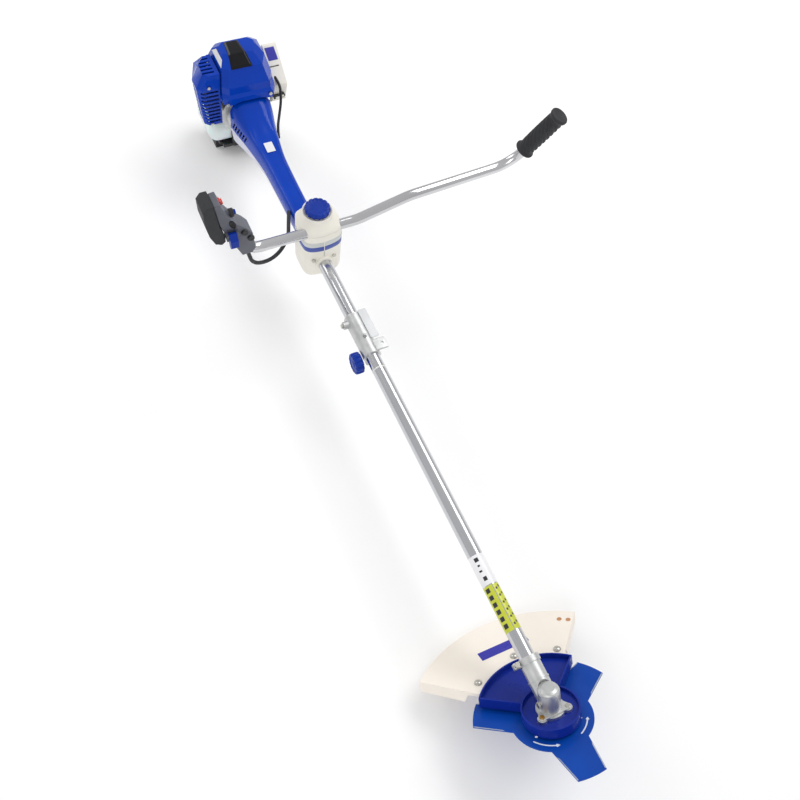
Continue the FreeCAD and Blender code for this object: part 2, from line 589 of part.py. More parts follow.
def make_throttle():
    """Upright throttle handle on the right arm: housing, rubber, trigger, lock button and switch."""
    pivot_d, pivot_z = TRIGGER_PIVOT
    body = solid(rounded(slab(HOUSING, FACE_FRONT, FACE_BACK), 2.2))
    ears = [block(back(FACE_FRONT + 8, low, pivot_z - 7), back(FACE_FRONT - 10, low + 4, pivot_z + 7))
            for low in (-199.6, -179.6)]
    pin = rod(2, 22, back(pivot_d, -199, pivot_z), (0, 1, 0))
    boss = rod(6, 16, back(BUTTON_D, -198, BUTTON_Z), (0, 1, 0))
    bar_path = rounded_path([back(BAR_X, -190, 183), back(BAR_X, -152, BAR_Z), back(BAR_X, -60, BAR_Z)], [40])
    tools = [
        solid(swept(bar_path, dim("bar_od") / 2)),
        rod(4, 16, back(BUTTON_D, -196, BUTTON_Z), (0, 1, 0)),
        rod(6.4, 13, back(BAR_X + 6.5, *SWITCH_SPOT), (1, 0, 0)),
        rod(4.5, 9, back(FACE_FRONT + 8, -184, 186), (1, 0, 0)),
        block(back(FACE_FRONT + 2, -195.6, TRIGGER_TIP - 7), back(FACE_FRONT - 12, -179.6, pivot_z + 13)),
    ]
    tools += [rod(2.1, 24, back(FACE_FRONT + 20, y, z), (1, 0, 0)) for y, z in SCREW_SPOTS]
    tools.append(rod(4, 14, back(953.5, -158, 92), (0, 0, 1)))
    piece("throttle_housing", fuse(cut(fuse(body, *ears, boss), *tools), pin))
    rubber = slab(RUBBER, FACE_FRONT - 3, FACE_BACK + 3)
    rubber = rounded(rubber, 1.5)
    piece("throttle_rubber", solid(rubber))
    tip = TRIGGER_TIP
    lever = [(pivot_d - 5, pivot_z + 8), (pivot_d + 2.5, pivot_z + 6), (pivot_d + 3, pivot_z - 6), (pivot_d, tip + 12),
             (pivot_d - 3, tip + 3), (pivot_d - 9, tip), (pivot_d - 15, tip + 6), (pivot_d - 14, tip + 22)]
    trigger = prism([back(d, -195.2, z) for d, z in lever], (0, 15.2, 0))
    trigger = rounded(trigger, 2, lambda edge: abs(edge.Length - 15.2) < 0.1).cut(
        Part.makeCylinder(2 + dim("run_fit"), 40, Vector(*back(pivot_d, -220, pivot_z)), Vector(0, 1, 0)))
    piece("throttle_trigger", solid(trigger))
    stem = rod(3.95, 16, back(BUTTON_D, -190, BUTTON_Z), (0, 1, 0))
    cap = rod(5, 5, back(BUTTON_D, -177, BUTTON_Z), (0, 1, 0))
    piece("throttle_lock_button", fuse(stem, cap))
    rocker = rod(6.35, 12, back(BAR_X + 6, *SWITCH_SPOT), (1, 0, 0))
    ridge = block(back(BAR_X + 6, SWITCH_SPOT[0] + 5.5, SWITCH_SPOT[1] - 1.5),
                  back(BAR_X - 6, SWITCH_SPOT[0] + 8.5, SWITCH_SPOT[1] + 1.5))
    piece("stop_switch", fuse(rocker, ridge))
    screws = [fuse(rod(2.1, 14, back(FACE_FRONT + 14, y, z), (1, 0, 0)),
                   rod(5, 4, back(FACE_FRONT, y, z), (1, 0, 0))) for y, z in SCREW_SPOTS]
    piece("throttle_screws", group(*screws))


# ---------------------------------------------------------------- cables and hoses
def print_radii(name, radii, path, radius, shape):
    share = shape.Volume / (math.pi * radius ** 2 * path.Length)
    print(name, "bend radii", radii, "length", round(path.Length, 1), "volume share", round(share, 4))


FRONT_CABLE = [back(953.5, -158, 95.6), back(955, -152, 66), back(968, -132, 34), back(990, -98, 6),
               back(1010, -68, 3), back(1032, -46, 13), back(1058, -36, 17), back(1088, -24, 18)]
REAR_CABLE = [back(1302, 35, 14), back(1340, 46, 6), back(1374, 64, 14), back(1394, 76, 36),
              back(1404, 76, 75), back(1441.5, 72, 66)]
FRONT_RADII = [36, 34, 40, 38, 60, 80]
REAR_RADII = [60, 40, 32, 28]


def make_cables():
    """Throttle cable from the handle into the neck, and on from the neck to the carburettor."""
    stretches = []
    for name, points, radii, radius in (("front of throttle cable", FRONT_CABLE, FRONT_RADII, 4),
                                        ("rear of throttle cable", REAR_CABLE, REAR_RADII, 3)):
        path = rounded_path(points, radii)
        shape = swept(path, radius)
        print_radii(name, radii, path, radius, shape)
        stretches.append(solid(shape))
    piece("throttle_cable", group(*stretches))
    hose = [back(1500, 64, -55.5), back(1500, 65, -20), back(1490, 72, 10), back(1478, 78, 30), back(1477, 79, 45)]
    hose_radii = [60, 60, 26]
    path = rounded_path(hose, hose_radii)
    shape = swept(path, 2.8)
    print_radii("fuel_hose", hose_radii, path, 2.8, shape)
    piece("fuel_hose", solid(shape))


# ---------------------------------------------------------------- neck
def neck_section(d, half_width, up, down, corner, inset=0.0):
    """Rounded rectangle across the shaft, as a wire."""
    half_width, up, down = half_width - inset, up - inset, down - inset
    corner = max(corner - inset, 2)
    box = Part.makeBox(1, 2 * half_width, up + down, Vector(*back(d, -half_width, -down)))
    along = [edge for edge in box.Edges if abs(edge.BoundBox.XLength - 1) < 0.01 and edge.Length < 1.01]
    box = box.makeFillet(corner, along)
    ends = [face for face in box.Faces if face.BoundBox.XLength < 0.01]
    return min(ends, key=lambda face: face.CenterOfMass.x).OuterWire


NECK = [(1031.5, 23, 25, 25, 9), (1150, 23.5, 26, 26, 10), (1240, 25, 28, 28, 11), (1320, 36, 39, 38, 16),
        (1384.5, 49, 68, 50, 30)]


def make_neck():
    """Long tapered shell over the rear tube: a glossy upper half and a pale lower half."""
    outer = loft([neck_section(*section) for section in NECK])
    inner = loft([neck_section(*section, inset=2.5) for section in NECK])
    front_wall = box_shape(back(1036, -40, -40), back(1030, 40, 40))
    shell = outer.cut(inner.cut(front_wall))
    shell = shell.cut(Part.makeCylinder(tube_r, 400, Vector(*back(1400)), Vector(1, 0, 0)))
    for end, before, radius in ((FRONT_CABLE[-1], FRONT_CABLE[-2], 4), (REAR_CABLE[0], REAR_CABLE[1], 3)):
        run = Vector(*end) - Vector(*before)
        shell = shell.cut(Part.makeCylinder(radius + 0.3, 60, Vector(*before), run))
    split_z = -5
    upper = shell.common(box_shape(back(1390, -70, split_z), back(1000, 70, 80)))
    lower = shell.common(box_shape(back(1390, -70, -80), back(1000, 70, split_z)))
    for number in range(6):
        slot = box_shape(back(1372 - number * 9, -60, -1), back(1368 - number * 9, -30, 14))
        upper = upper.cut(slot)
    piece("neck_shell_upper", solid(upper))
    piece("neck_shell_lower", solid(lower))


# ---------------------------------------------------------------- engine core
CYL_D = dim("cylinder_x")


def tube_x(outer, inner, near, far):
    """A ring about the shaft's axis between two distances behind the head."""
    shape = Part.makeCylinder(outer, far - near, Vector(*back(far)), Vector(1, 0, 0))
    if inner > 0:
        shape = shape.cut(Part.makeCylinder(inner, far - near, Vector(*back(far)), Vector(1, 0, 0)))
    return shape


def make_crankcase():
    """Light-alloy casting: clutch bell, fan ring, crank chamber and cylinder seat."""
    shape = tube_x(49, 43, 1389, 1414).multiFuse([
        tube_x(49, 12, 1385, 1389), tube_x(18, 12, 1389, 1395), tube_x(58, 43, 1414, 1417),
        tube_x(58, 54.5, 1417, 1438), tube_x(58, 13, 1438, 1446), tube_x(38, 29, 1446, 1478),
        tube_x(38, 13, 1478, 1490)])
    seat = box_shape(back(1486, -27, 20), back(1448, 27, 40)).cut(tube_x(29, 0, 1440, 1500))
    shape = shape.fuse(seat)
    shape = shape.cut(Part.makeCylinder(20.5, 40, Vector(*back(CYL_D + 2, 0, 10))))
    shape = shape.cut(Part.makeCylinder(26, 30, Vector(*back(CYL_D + 2, 0, 40))))
    piece("crankcase", solid(shape.removeSplitter()))


def make_rotating():
    """Crankshaft with flywheel fan and clutch shoes, and the clutch drum on the drive side."""
    fit = dim("run_fit")
    crank = tube_x(6, 0, 1402, 1500).multiFuse([
        tube_x(25, 0, 1451, 1457), tube_x(25, 0, 1468, 1474)])
    gap = tube_x(8, 0, 1457, 1468)
    pin = Part.makeCylinder(6, 11, Vector(*back(1468, 0, 14)), Vector(1, 0, 0))
    piece("crankshaft", solid(crank.cut(gap).fuse(pin)))
    wheel = tube_x(50, 6, 1421, 1427).fuse(tube_x(14, 6, 1419, 1436))
    for number in range(14):
        fin = box_shape(back(1436, -1, 22), back(1427, 1, 49))
        fin.rotate(Vector(*back(1430)), Vector(1, 0, 0), number * 360 / 14)
        wheel = wheel.fuse(fin)
    piece("flywheel", solid(wheel.removeSplitter()))
    hub = tube_x(11, 6, 1402, 1418)
    slot = box_shape(back(1412, -40, -6), back(1401, 40, 6)).cut(tube_x(12, 0, 1400, 1413))
    shoes = tube_x(dim("drum_od") / 2 - 3.5, 6, 1402, 1411).cut(slot)
    piece("clutch_shoes", solid(hub.fuse(shoes)))
    drum_r = dim("drum_od") / 2
    drum = tube_x(drum_r, drum_r - 2, 1397, 1412).multiFuse([
        tube_x(drum_r, 4, 1397, 1399.5), tube_x(6, 4, 1382, 1399.5)])
    drum = drum.cut(Part.makeCylinder(4, 30, Vector(*back(1398.2)), Vector(1, 0, 0)))
    piece("clutch_drum", solid(drum))


def make_cylinder():
    """Finned barrel with its inlet and exhaust flanges, the piston and the spark plug."""
    x, y, z = back(CYL_D + 2)
    barrel = Part.makeCylinder(26, 78, Vector(x, y, z + 40))
    head = Part.makeCylinder(26, 8, Vector(x, y, z + 112))
    shape = barrel.fuse(head)
    for number in range(7):
        low = z + 62 + number * 7
        shape = shape.fuse(box_shape((x - 33, -35, low), (x + 33, 35, low + 2.4)))
    shape = shape.fuse(box_shape((x - 17, -57, z + 50), (x + 17, -17, z + 80)))
    shape = shape.fuse(box_shape((x - 17, 17, z + 52), (x + 17, 57, z + 80)))
    shape = shape.cut(Part.makeCylinder(dim("bore_od") / 2, 74, Vector(x, y, z + 38)))
    shape = shape.cut(Part.makeCylinder(9, 60, Vector(x, -60, z + 65), Vector(0, 1, 0)))
    shape = shape.cut(Part.makeCylinder(8, 60, Vector(x, 5, z + 66), Vector(0, 1, 0)))
    shape = shape.cut(Part.makeCylinder(5, 20, Vector(x, y, z + 105)))
    piece("cylinder", solid(shape.removeSplitter()))
    piston = Part.makeCylinder(dim("bore_od") / 2 - 0.05, 30, Vector(x, y, z + 78)).cut(
        Part.makeCylinder(16, 25, Vector(x, y, z + 77)))
    piece("piston", solid(piston))
    plug = fuse(rod(4.9, 12.2, (x, y, z + 109)), hexagon(16, 6, (x, y, z + 120.2)),
                rod(6, 12, (x, y, z + 126)), rod(7, 7, (x, y, z + 137)))
    piece("spark_plug", plug)


# ---------------------------------------------------------------- engine covers
def rect_wire(near, far, left, right, z):
    """Level rectangle between two distances behind the head and two sides."""
    corners = [back(near, left, z), back(far, left, z), back(far, right, z), back(near, right, z)]
    return Part.makePolygon([Vector(*corner) for corner in corners + corners[:1]])


COVER = [(1374, 1500, -61, 64, 64), (1379, 1503, -59, 60, 104), (1396, 1488, -52, 52, 138),
         (1424, 1470, -40, 38, 154)]


def cover_shape(inset):
    wires = [rect_wire(near + inset, far - inset, left + inset, right - inset, z)
             for near, far, left, right, z in COVER]
    return wires


def prism_along_shaft(wire, length):
    """Extrude a section towards the head."""
    return Part.Face(wire).extrude(Vector(length, 0, 0))


def make_cylinder_cover():
    """Faceted hood over the cylinder, open below and at the ports, with a dark plug cover on top."""
    outer = Part.makeLoft(cover_shape(0), True, True)
    wires = cover_shape(2.6)
    inner = Part.makeLoft(wires, True, True)
    inner.translate(Vector(0, 0, -2.6))
    shape = rounded(outer, 5, lambda edge: edge.BoundBox.ZLength < 0.1 and edge.CenterOfMass.z > dim("shaft_height") + 90)
    shape = shape.cut(inner)
    port = box_shape(back(1492, -70, 46), back(1436, 70, 86))
    arch = prism_along_shaft(neck_section(1386, 49.6, 68.6, 50, 30), 16)
    shape = shape.cut(port).cut(arch)
    piece("cylinder_cover", solid(shape))
    under = [(1396, 138), (1424, 154), (1466, 154)]
    over = [(1466, 157.5), (1423.1, 157.5), (1394.3, 141)]
    slab_shape = prism([back(d, -36, h) for d, h in under + over], (0, 60, 0))
    mask = prism([back(1390, -33, 100), back(1424, -30, 100), back(1470, -27, 100),
                  back(1470, 5, 100), back(1424, 9, 100), back(1390, 16, 100)], (0, 0, 90))
    piece("plug_cover", solid(slab_shape.common(mask)))


MUFFLER_COVER = [(1400, 1492, -101, -62, 0), (1396, 1494, -108, -62, 62), (1398, 1490, -111, -61, 100),
                 (1406, 1472, -92, -57, 128)]


def muffler_wire(near, far, left, right, z):
    """Level outline of the muffler's guard: a small corner at the front, a long one at the rear."""
    corners = [(near, left + 10), (near + 10, left), (near + 40, left), (far, left + 20), (far, right),
               (near, right)]
    spots = [Vector(*back(d, y, z)) for d, y in corners]
    return Part.makePolygon(spots + spots[:1])


def make_muffler():
    """Muffler box on the right, inside its slotted guard."""
    x, y, z = back(CYL_D + 2)
    box = rounded(box_shape((x - 4, -88, z + 12), (x + 52, -67, z + 98)), 6)
    flange = box_shape((x - 24, -70, z + 50), (x + 24, -57, z + 80))
    tail = Part.makeCylinder(6, 14, Vector(x + 6, -78, z + 14), Vector(0, 0, -1))
    piece("muffler", solid(box.fuse(flange).fuse(tail)))

    def wires(inset, shift):
        return [muffler_wire(near + inset, far - inset, left + inset, right + shift, z)
                for near, far, left, right, z in MUFFLER_COVER]
    outer = Part.makeLoft(wires(0, 0), True, True)
    inner = Part.makeLoft(wires(2.6, 5), True, True)
    inner.translate(Vector(0, 0, -2.6))
    shape = outer.cut(inner)
    for number in range(9):
        low = 8 + number * 10
        shape = shape.cut(box_shape(back(1405, -104, low), back(1390, -66, low + 5)))
        shape = shape.cut(box_shape(back(1482, -125, low), back(1412, -98, low + 5)))
    for number in range(6):
        near = 1414 + number * 11
        shape = shape.cut(box_shape(back(near + 5, -92, 114), back(near, -66, 135)))
    piece("muffler_cover", solid(shape))


# ---------------------------------------------------------------- carburettor side
CHOKE_SPOT = (86, 28)
CHOKE_D = 1416.5


def make_carburettor():
    """Carburettor, choke lever, primer bulb and the two halves of the air filter box."""
    x, y, z = back(CYL_D + 4)
    body = rounded(box_shape((x - 20, 57, z + 48), (x + 20, 88, z + 84)), 2)
    body = body.cut(Part.makeCylinder(7, 40, Vector(x, 55, z + 66), Vector(0, 1, 0)))
    body = body.cut(Part.makeCylinder(9.6, 8, Vector(x + 8, 70, z + 47)))
    inlet = Part.makeCylinder(3.4, 8, Vector(*back(1477, 79, 44)))
    drum = Part.makeCylinder(7, 5, Vector(x + 24, 72, z + 66), Vector(-1, 0, 0))
    piece("carburettor", solid(body.cut(inlet).fuse(drum)))
    bulb = revolved([(0, -8), (4, -7), (7.5, -3), (9, 2), (9, 4), (0, 4)])
    piece("primer_bulb", solid(bulb), Placement(Vector(x + 8, 70, z + 46.2), Rotation()))
    outline = [(1446, -5), (1490, -5), (1500, 10), (1500, 66), (1492, 84), (1446, 84)]
    base = prism([back(d, 88, h) for d, h in outline], (0, 5, 0))
    base = base.cut(Part.makeCylinder(7, 10, Vector(x, 86, z + 66), Vector(0, 1, 0)))
    piece("filter_base", solid(base))
    outline = [(1440, -9), (1424, 6), (1410, 60), (1480, 113), (1487, 113), (1508, 70), (1508, 8), (1495, -9)]
    outer = prism([back(d, 65, h) for d, h in outline], (0, 32, 0))
    outer = rounded(outer, 4, lambda edge: abs(edge.Length - 32) < 0.1)
    mid = (1460, 52)
    inner = prism([back(mid[0] + (d - mid[0]) * 0.93, 67.6, mid[1] + (h - mid[1]) * 0.94) for d, h in outline],
                  (0, 26.8, 0))
    pocket = box_shape(back(1503, 60, -12), back(1442, 90, 86))
    pivot = Part.makeCylinder(2.5, 12, Vector(*back(CHOKE_D + 5, *CHOKE_SPOT)), Vector(1, 0, 0))
    cable = swept(rounded_path(REAR_CABLE, REAR_RADII), 3.4)
    piece("filter_cover", solid(outer.cut(inner).cut(pocket).cut(cable).fuse(pivot)))
    choke_y, choke_z = CHOKE_SPOT
    hub = Part.makeCylinder(6, 5, Vector(*back(CHOKE_D, *CHOKE_SPOT)), Vector(1, 0, 0))
    arm = box_shape(back(CHOKE_D, choke_y - 20, choke_z - 3), back(CHOKE_D - 3, choke_y, choke_z + 3))
    pad = box_shape(back(CHOKE_D, choke_y - 22, choke_z - 3), back(CHOKE_D - 9, choke_y - 18, choke_z + 3))
    lever = hub.fuse(arm).fuse(pad)
    lever = lever.cut(Part.makeCylinder(2.5 + dim("run_fit"), 10, Vector(*back(CHOKE_D + 3, *CHOKE_SPOT)), Vector(1, 0, 0)))
    piece("choke_lever", solid(lever))


# ---------------------------------------------------------------- starter, tank and foot
def make_starter():
    """Recoil starter at the rear, with its pull handle."""
    cup = tube_x(55, 0, 1490, 1550)
    cup = rounded(cup, 8, lambda edge: edge.CenterOfMass.x < dim("head_x") - 1545)
    cup = cup.cut(tube_x(52, 0, 1489, 1546))
    rim = tube_x(55, 32, 1490, 1493)
    post = tube_x(6.45, 0, 1503, 1548)
    shape = cup.fuse(rim).fuse(post)
    for number in range(10):
        slot = box_shape(back(1552, -2.2, 20), back(1540, 2.2, 42))
        slot.rotate(Vector(*back(1550)), Vector(1, 0, 0), number * 36)
        shape = shape.cut(slot)
    shape = shape.fuse(box_shape(back(1541, -58, -30), back(1521, -50, -14)))
    shape = shape.cut(Part.makeCylinder(2.5, 20, Vector(*back(1531, -66, -22)), Vector(0, 1, 0)))
    piece("starter_housing", solid(shape))
    grip = rounded(box_shape(back(1550, -72, -27), back(1512, -59, -17)), 3)
    stem = Part.makeCylinder(2, 14, Vector(*back(1531, -61, -22)), Vector(0, 1, 0))
    piece("starter_handle", solid(grip.fuse(stem)))
    pulley = tube_x(30, 6.5, 1526, 1536).fuse(tube_x(12, 6.5, 1504, 1540))
    pulley = pulley.cut(tube_x(31, 20.5, 1529.3, 1532.7))
    piece("starter_pulley", solid(pulley))


SPOUT_SPOT = (-40, -84)


def make_tank():
    """Translucent fuel tank with its filler cap, on a dark foot frame."""
    near, far = dim("tank_front"), dim("tank_back")
    half, top, base = dim("tank_half_width"), dim("tank_top"), dim("tank_base")
    low, high = back(far, -half, -base), back(near, half, -top)
    outer = rounded(box_shape(low, high), 22)
    inner = rounded(box_shape(tuple(v + 2.5 for v in low), tuple(v - 2.5 for v in high)), 19.5)
    spout = Part.makeCylinder(15, 12, Vector(*back(far + 8, *SPOUT_SPOT)), Vector(1, 0, 0))
    hole = Part.makeCylinder(12.5, 20, Vector(*back(far + 9, *SPOUT_SPOT)), Vector(1, 0, 0))
    shape = outer.cut(inner).fuse(spout).cut(hole)
    shape = shape.cut(Part.makeCylinder(2.8, 8, Vector(*back(1500, 64, -60))))
    piece("fuel_tank", solid(shape))
    cap = revolved([(15.4, 0), (20, 0), (20, 14), (18, 16), (0, 16), (0, 9.5), (15.4, 9.5)])
    for number in range(12):
        turn = number * math.pi / 6
        cap = cap.cut(Part.makeCylinder(1.6, 20, Vector(20.8 * math.cos(turn), 20.8 * math.sin(turn), -1)))
    seat = Placement(Vector(*back(far + 0.5, *SPOUT_SPOT)), toward((-1, 0, 0)))
    piece("fuel_cap", solid(cap), seat)
    ground = -dim("shaft_height")
    plate = box_shape(back(1562, -52, -base - 10), back(1446, 52, -base))
    crossbar = box_shape(back(1522, -40, ground), back(1498, 40, ground + 6))
    post = box_shape(back(1450.5, -30, -base - 10), back(1446, 30, -36)).cut(tube_x(38, 0, 1440, 1500))
    shape = plate.fuse(post).fuse(crossbar)
    for side in (-1, 1):
        left, right = sorted((side * 36, side * 58))
        runner = rounded(box_shape(back(1562, left, ground), back(1458, right, -base - 1)), 4, upright)
        shape = shape.fuse(runner)
    piece("engine_foot", solid(shape.removeSplitter()))


def make_screws():
    """Socket screws of the gear case, clamp, coupler and engine covers, as one set."""
    rear = dim("coupler_mid") + dim("coupler_long") / 2
    screws = list(SCREWS)
    for side in (-1, 1):
        screws.append(fuse(rod(2.1, 10, back(961, side * 22, 12), (1, 0, 0)),
                           rod(4, 3, back(953, side * 22, 12), (1, 0, 0))))
    screws.append(fuse(rod(2.6, 13.6, back(rear - 14, -28, 2), (0, 1, 0)),
                       rod(4.6, 4, back(rear - 14, -30, 2), (0, 1, 0))))
    for side, z in ((-54, 70), (44, 76)):
        screws.append(rod(4, 3, back(1373.9, side, z), (1, 0, 0)))
    for z, d in ((3.8, 1399.4), (104, 1398.1)):
        screws.append(rod(3.5, 3, back(d, -86, z), (1, 0, 0)))
    piece("socket_screws", group(*screws))


for build in (make_clamp, make_handlebar, make_throttle, make_cables, make_neck, make_crankcase, make_rotating,
              make_cylinder, make_cylinder_cover, make_muffler, make_carburettor, make_starter, make_tank,
              make_screws):
    build()

doc.recompute()

# ---------------------------------------------------------------- checks and export
for obj in doc.Objects:
    if "Invalid" in obj.State or "Error" in obj.State:
        raise RuntimeError(f"{obj.Name} ({obj.Label}) did not build: {obj.State}")
os.makedirs("parts", exist_ok=True)
for obj in PIECES:
    shape = obj.Shape
    if shape.isNull() or not shape.isValid() or shape.Volume <= 0:
        raise RuntimeError(f"{obj.Label} has no valid solid")
    box = shape.BoundBox
    print(f"{obj.Label:22s} solids {len(shape.Solids)} volume {shape.Volume / 1000:8.2f} cm3 "
          f"x {box.XMin:7.1f} {box.XMax:7.1f} y {box.YMin:6.1f} {box.YMax:6.1f} z {box.ZMin:6.1f} {box.ZMax:6.1f}")
    shape.exportStep(f"parts/{obj.Label}.step")
print(len(PIECES), "pieces")
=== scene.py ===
import bmesh
import bpy
import json
import math
from mathutils import Matrix, Vector


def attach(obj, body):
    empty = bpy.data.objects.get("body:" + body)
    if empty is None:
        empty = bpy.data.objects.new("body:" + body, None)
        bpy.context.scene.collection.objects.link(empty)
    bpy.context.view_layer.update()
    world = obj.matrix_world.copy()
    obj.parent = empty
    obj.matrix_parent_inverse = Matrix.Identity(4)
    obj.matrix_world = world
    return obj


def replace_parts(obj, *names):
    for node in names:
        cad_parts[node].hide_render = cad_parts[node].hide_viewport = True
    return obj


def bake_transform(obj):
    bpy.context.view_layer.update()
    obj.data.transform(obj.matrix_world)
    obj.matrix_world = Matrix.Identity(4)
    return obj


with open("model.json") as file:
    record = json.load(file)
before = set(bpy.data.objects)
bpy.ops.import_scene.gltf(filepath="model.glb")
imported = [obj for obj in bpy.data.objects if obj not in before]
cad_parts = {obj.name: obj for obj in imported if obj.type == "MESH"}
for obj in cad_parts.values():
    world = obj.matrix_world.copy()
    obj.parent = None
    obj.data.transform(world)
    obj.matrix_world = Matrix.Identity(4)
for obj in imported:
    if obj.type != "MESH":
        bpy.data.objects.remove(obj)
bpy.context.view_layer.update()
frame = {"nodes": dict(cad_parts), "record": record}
NODES = frame["nodes"]
BODY_OF = {node: body for body, nodes in frame["record"]["behaviour"]["bodies"].items()
           for node in nodes}
SLOT_OF = {entry["node"]: entry["material_slot"] for entry in frame["record"]["subparts"]}

# The shaft's axis is level; distances count back along it from the centre of the cutting head.
# Lengths are in mm, and the scene itself is in metres.
HEAD_X = 1510
SHAFT_Z = 165
TILT = math.radians(35)
TUBE_RADIUS = 14


def at(distance, y=0.0, z=0.0):
    """A point from its distance behind the head, its side offset and its height over the axis."""
    return Vector((HEAD_X - distance, y, SHAFT_Z + z)) / 1000


HEAD = Matrix.Translation(at(0)) @ Matrix.Rotation(-TILT, 4, "Y")
HEAD_UP = HEAD.to_3x3() @ Vector((0, 0, 1))


def in_head(x, y, z):
    """A point of the tilted cutting head's own frame."""
    return HEAD @ (Vector((x, y, z)) / 1000)


def polar(radius, turn):
    """Both coordinates of a point at an angle in radians."""
    return radius * math.cos(turn), radius * math.sin(turn)


def add_object(name, data):
    """An object that holds some data, linked into the scene."""
    obj = bpy.data.objects.new(name, data)
    bpy.context.collection.objects.link(obj)
    return obj


# ---------------------------------------------------------------- camera, light and floor
CAMERA_AT = (1.6298, -0.4721, 1.5954)
CAMERA_RIGHT = (0.415295, 0.904514, 0.096869)
CAMERA_UP = (-0.802772, 0.314315, 0.506718)
CAMERA_BACK = (0.427886, -0.288201, 0.856653)


def make_camera():
    data = bpy.data.cameras.new("Camera")
    camera = add_object("Camera", data)
    turn = Matrix((CAMERA_RIGHT, CAMERA_UP, CAMERA_BACK)).transposed().to_4x4()
    camera.matrix_world = Matrix.Translation(CAMERA_AT) @ turn
    data.lens = 39.87
    data.sensor_width = 36
    data.clip_start = 0.01
    bpy.context.scene.camera = camera


def area_light(name, place, target, size, power):
    """A rectangular lamp that faces its target."""
    data = bpy.data.lights.new(name, "AREA")
    data.shape = "RECTANGLE"
    data.size, data.size_y = size
    data.energy = power
    light = add_object(name, data)
    light.location = place
    aim = Vector(target) - Vector(place)
    light.rotation_euler = aim.to_track_quat("-Z", "Y").to_euler()


def make_stage():
    """A white studio: an even sky, three soft lamps and a pale floor."""
    world = bpy.data.worlds.new("Studio")
    bpy.context.scene.world = world
    world.use_nodes = True
    sky = world.node_tree.nodes["Background"]
    sky.inputs["Color"].default_value = (1.0, 1.0, 1.0, 1)
    sky.inputs["Strength"].default_value = 0.64
    area_light("Key", (0.2, 1.6, 2.4), (0.6, 0, 0.1), (2.4, 1.2), 34)
    area_light("Fill", (2.6, -1.6, 1.8), (0.9, 0, 0.1), (2.2, 1.4), 16)
    area_light("Rim", (-1.4, -1.2, 1.6), (0.3, 0, 0.2), (1.6, 1.0), 13)
    bpy.ops.mesh.primitive_plane_add(size=14, location=(0.7, 0, 0))
    floor = bpy.context.object
    floor.name = "Floor"
    mat = bpy.data.materials.new("Floor")
    mat.use_nodes = True
    shader = mat.node_tree.nodes["Principled BSDF"]
    shader.inputs["Base Color"].default_value = (0.98, 0.98, 0.98, 1)
    shader.inputs["Roughness"].default_value = 0.9
    floor.data.materials.append(mat)
    bpy.context.scene.view_settings.view_transform = "Standard"


# ---------------------------------------------------------------- materials
def tint(red, green, blue):
    """Linear colour of an 8-bit display colour."""
    def linear(value):
        share = value / 255
        return share / 12.92 if share <= 0.04045 else ((share + 0.055) / 1.055) ** 2.4
    return (linear(red), linear(green), linear(blue), 1.0)


GRAIN_DEPTH = 0.0004
WAVE_DEPTH = 0.002


def surface(name, color, shade, rough, metallic=0.0, coat=0.0, grain=(900, 0.06), mottle=(14, 0.5),
            stretch=(1, 1, 1), waves=(0, 0), **sockets):
    """Procedural finish: two tones mottled together, uneven gloss, fine grain and slow waviness.

    color and shade are 8-bit display colours, rough is the range of roughness, and grain, mottle
    and waves are each a scale with a strength. Other sockets of the shader are set by name.
    """
    mat = bpy.data.materials.new(name)
    mat.use_nodes = True
    nodes, links = mat.node_tree.nodes, mat.node_tree.links
    shader = nodes["Principled BSDF"]
    place = nodes.new("ShaderNodeTexCoord")
    mapping = nodes.new("ShaderNodeMapping")
    mapping.inputs["Scale"].default_value = stretch
    links.new(place.outputs["Object"], mapping.inputs["Vector"])

    def noise(scale, detail):
        node = nodes.new("ShaderNodeTexNoise")
        node.inputs["Scale"].default_value = scale
        node.inputs["Detail"].default_value = detail
        links.new(mapping.outputs["Vector"], node.inputs["Vector"])
        return node

    blotch = noise(mottle[0], 5)
    mix = nodes.new("ShaderNodeMix")
    mix.data_type = "RGBA"
    mix.inputs["A"].default_value = tint(*color)
    mix.inputs["B"].default_value = tint(*shade)
    spread = nodes.new("ShaderNodeMapRange")
    spread.inputs["From Min"].default_value = 0.5 - 0.35 * mottle[1]
    spread.inputs["From Max"].default_value = 0.5 + 0.35
    links.new(blotch.outputs["Fac"], spread.inputs["Value"])
    links.new(spread.outputs["Result"], mix.inputs["Factor"])
    links.new(mix.outputs["Result"], shader.inputs["Base Color"])
    fine = noise(grain[0], 3)
    gloss = nodes.new("ShaderNodeMapRange")
    gloss.inputs["To Min"].default_value = rough[0]
    gloss.inputs["To Max"].default_value = rough[1]
    links.new(noise(mottle[0] * 3.1, 6).outputs["Fac"], gloss.inputs["Value"])
    links.new(gloss.outputs["Result"], shader.inputs["Roughness"])
    bump = nodes.new("ShaderNodeBump")
    bump.inputs["Strength"].default_value = grain[1]
    bump.inputs["Distance"].default_value = GRAIN_DEPTH
    links.new(fine.outputs["Fac"], bump.inputs["Height"])
    if waves[1]:
        slow = nodes.new("ShaderNodeBump")
        slow.inputs["Strength"].default_value = waves[1]
        slow.inputs["Distance"].default_value = WAVE_DEPTH
        links.new(noise(waves[0], 2).outputs["Fac"], slow.inputs["Height"])
        links.new(slow.outputs["Normal"], bump.inputs["Normal"])
    links.new(bump.outputs["Normal"], shader.inputs["Normal"])
    shader.inputs["Metallic"].default_value = metallic
    shader.inputs["Coat Weight"].default_value = coat
    shader.inputs["Coat Roughness"].default_value = 0.04
    for socket, value in sockets.items():
        shader.inputs[socket.replace("_", " ")].default_value = value
    return mat


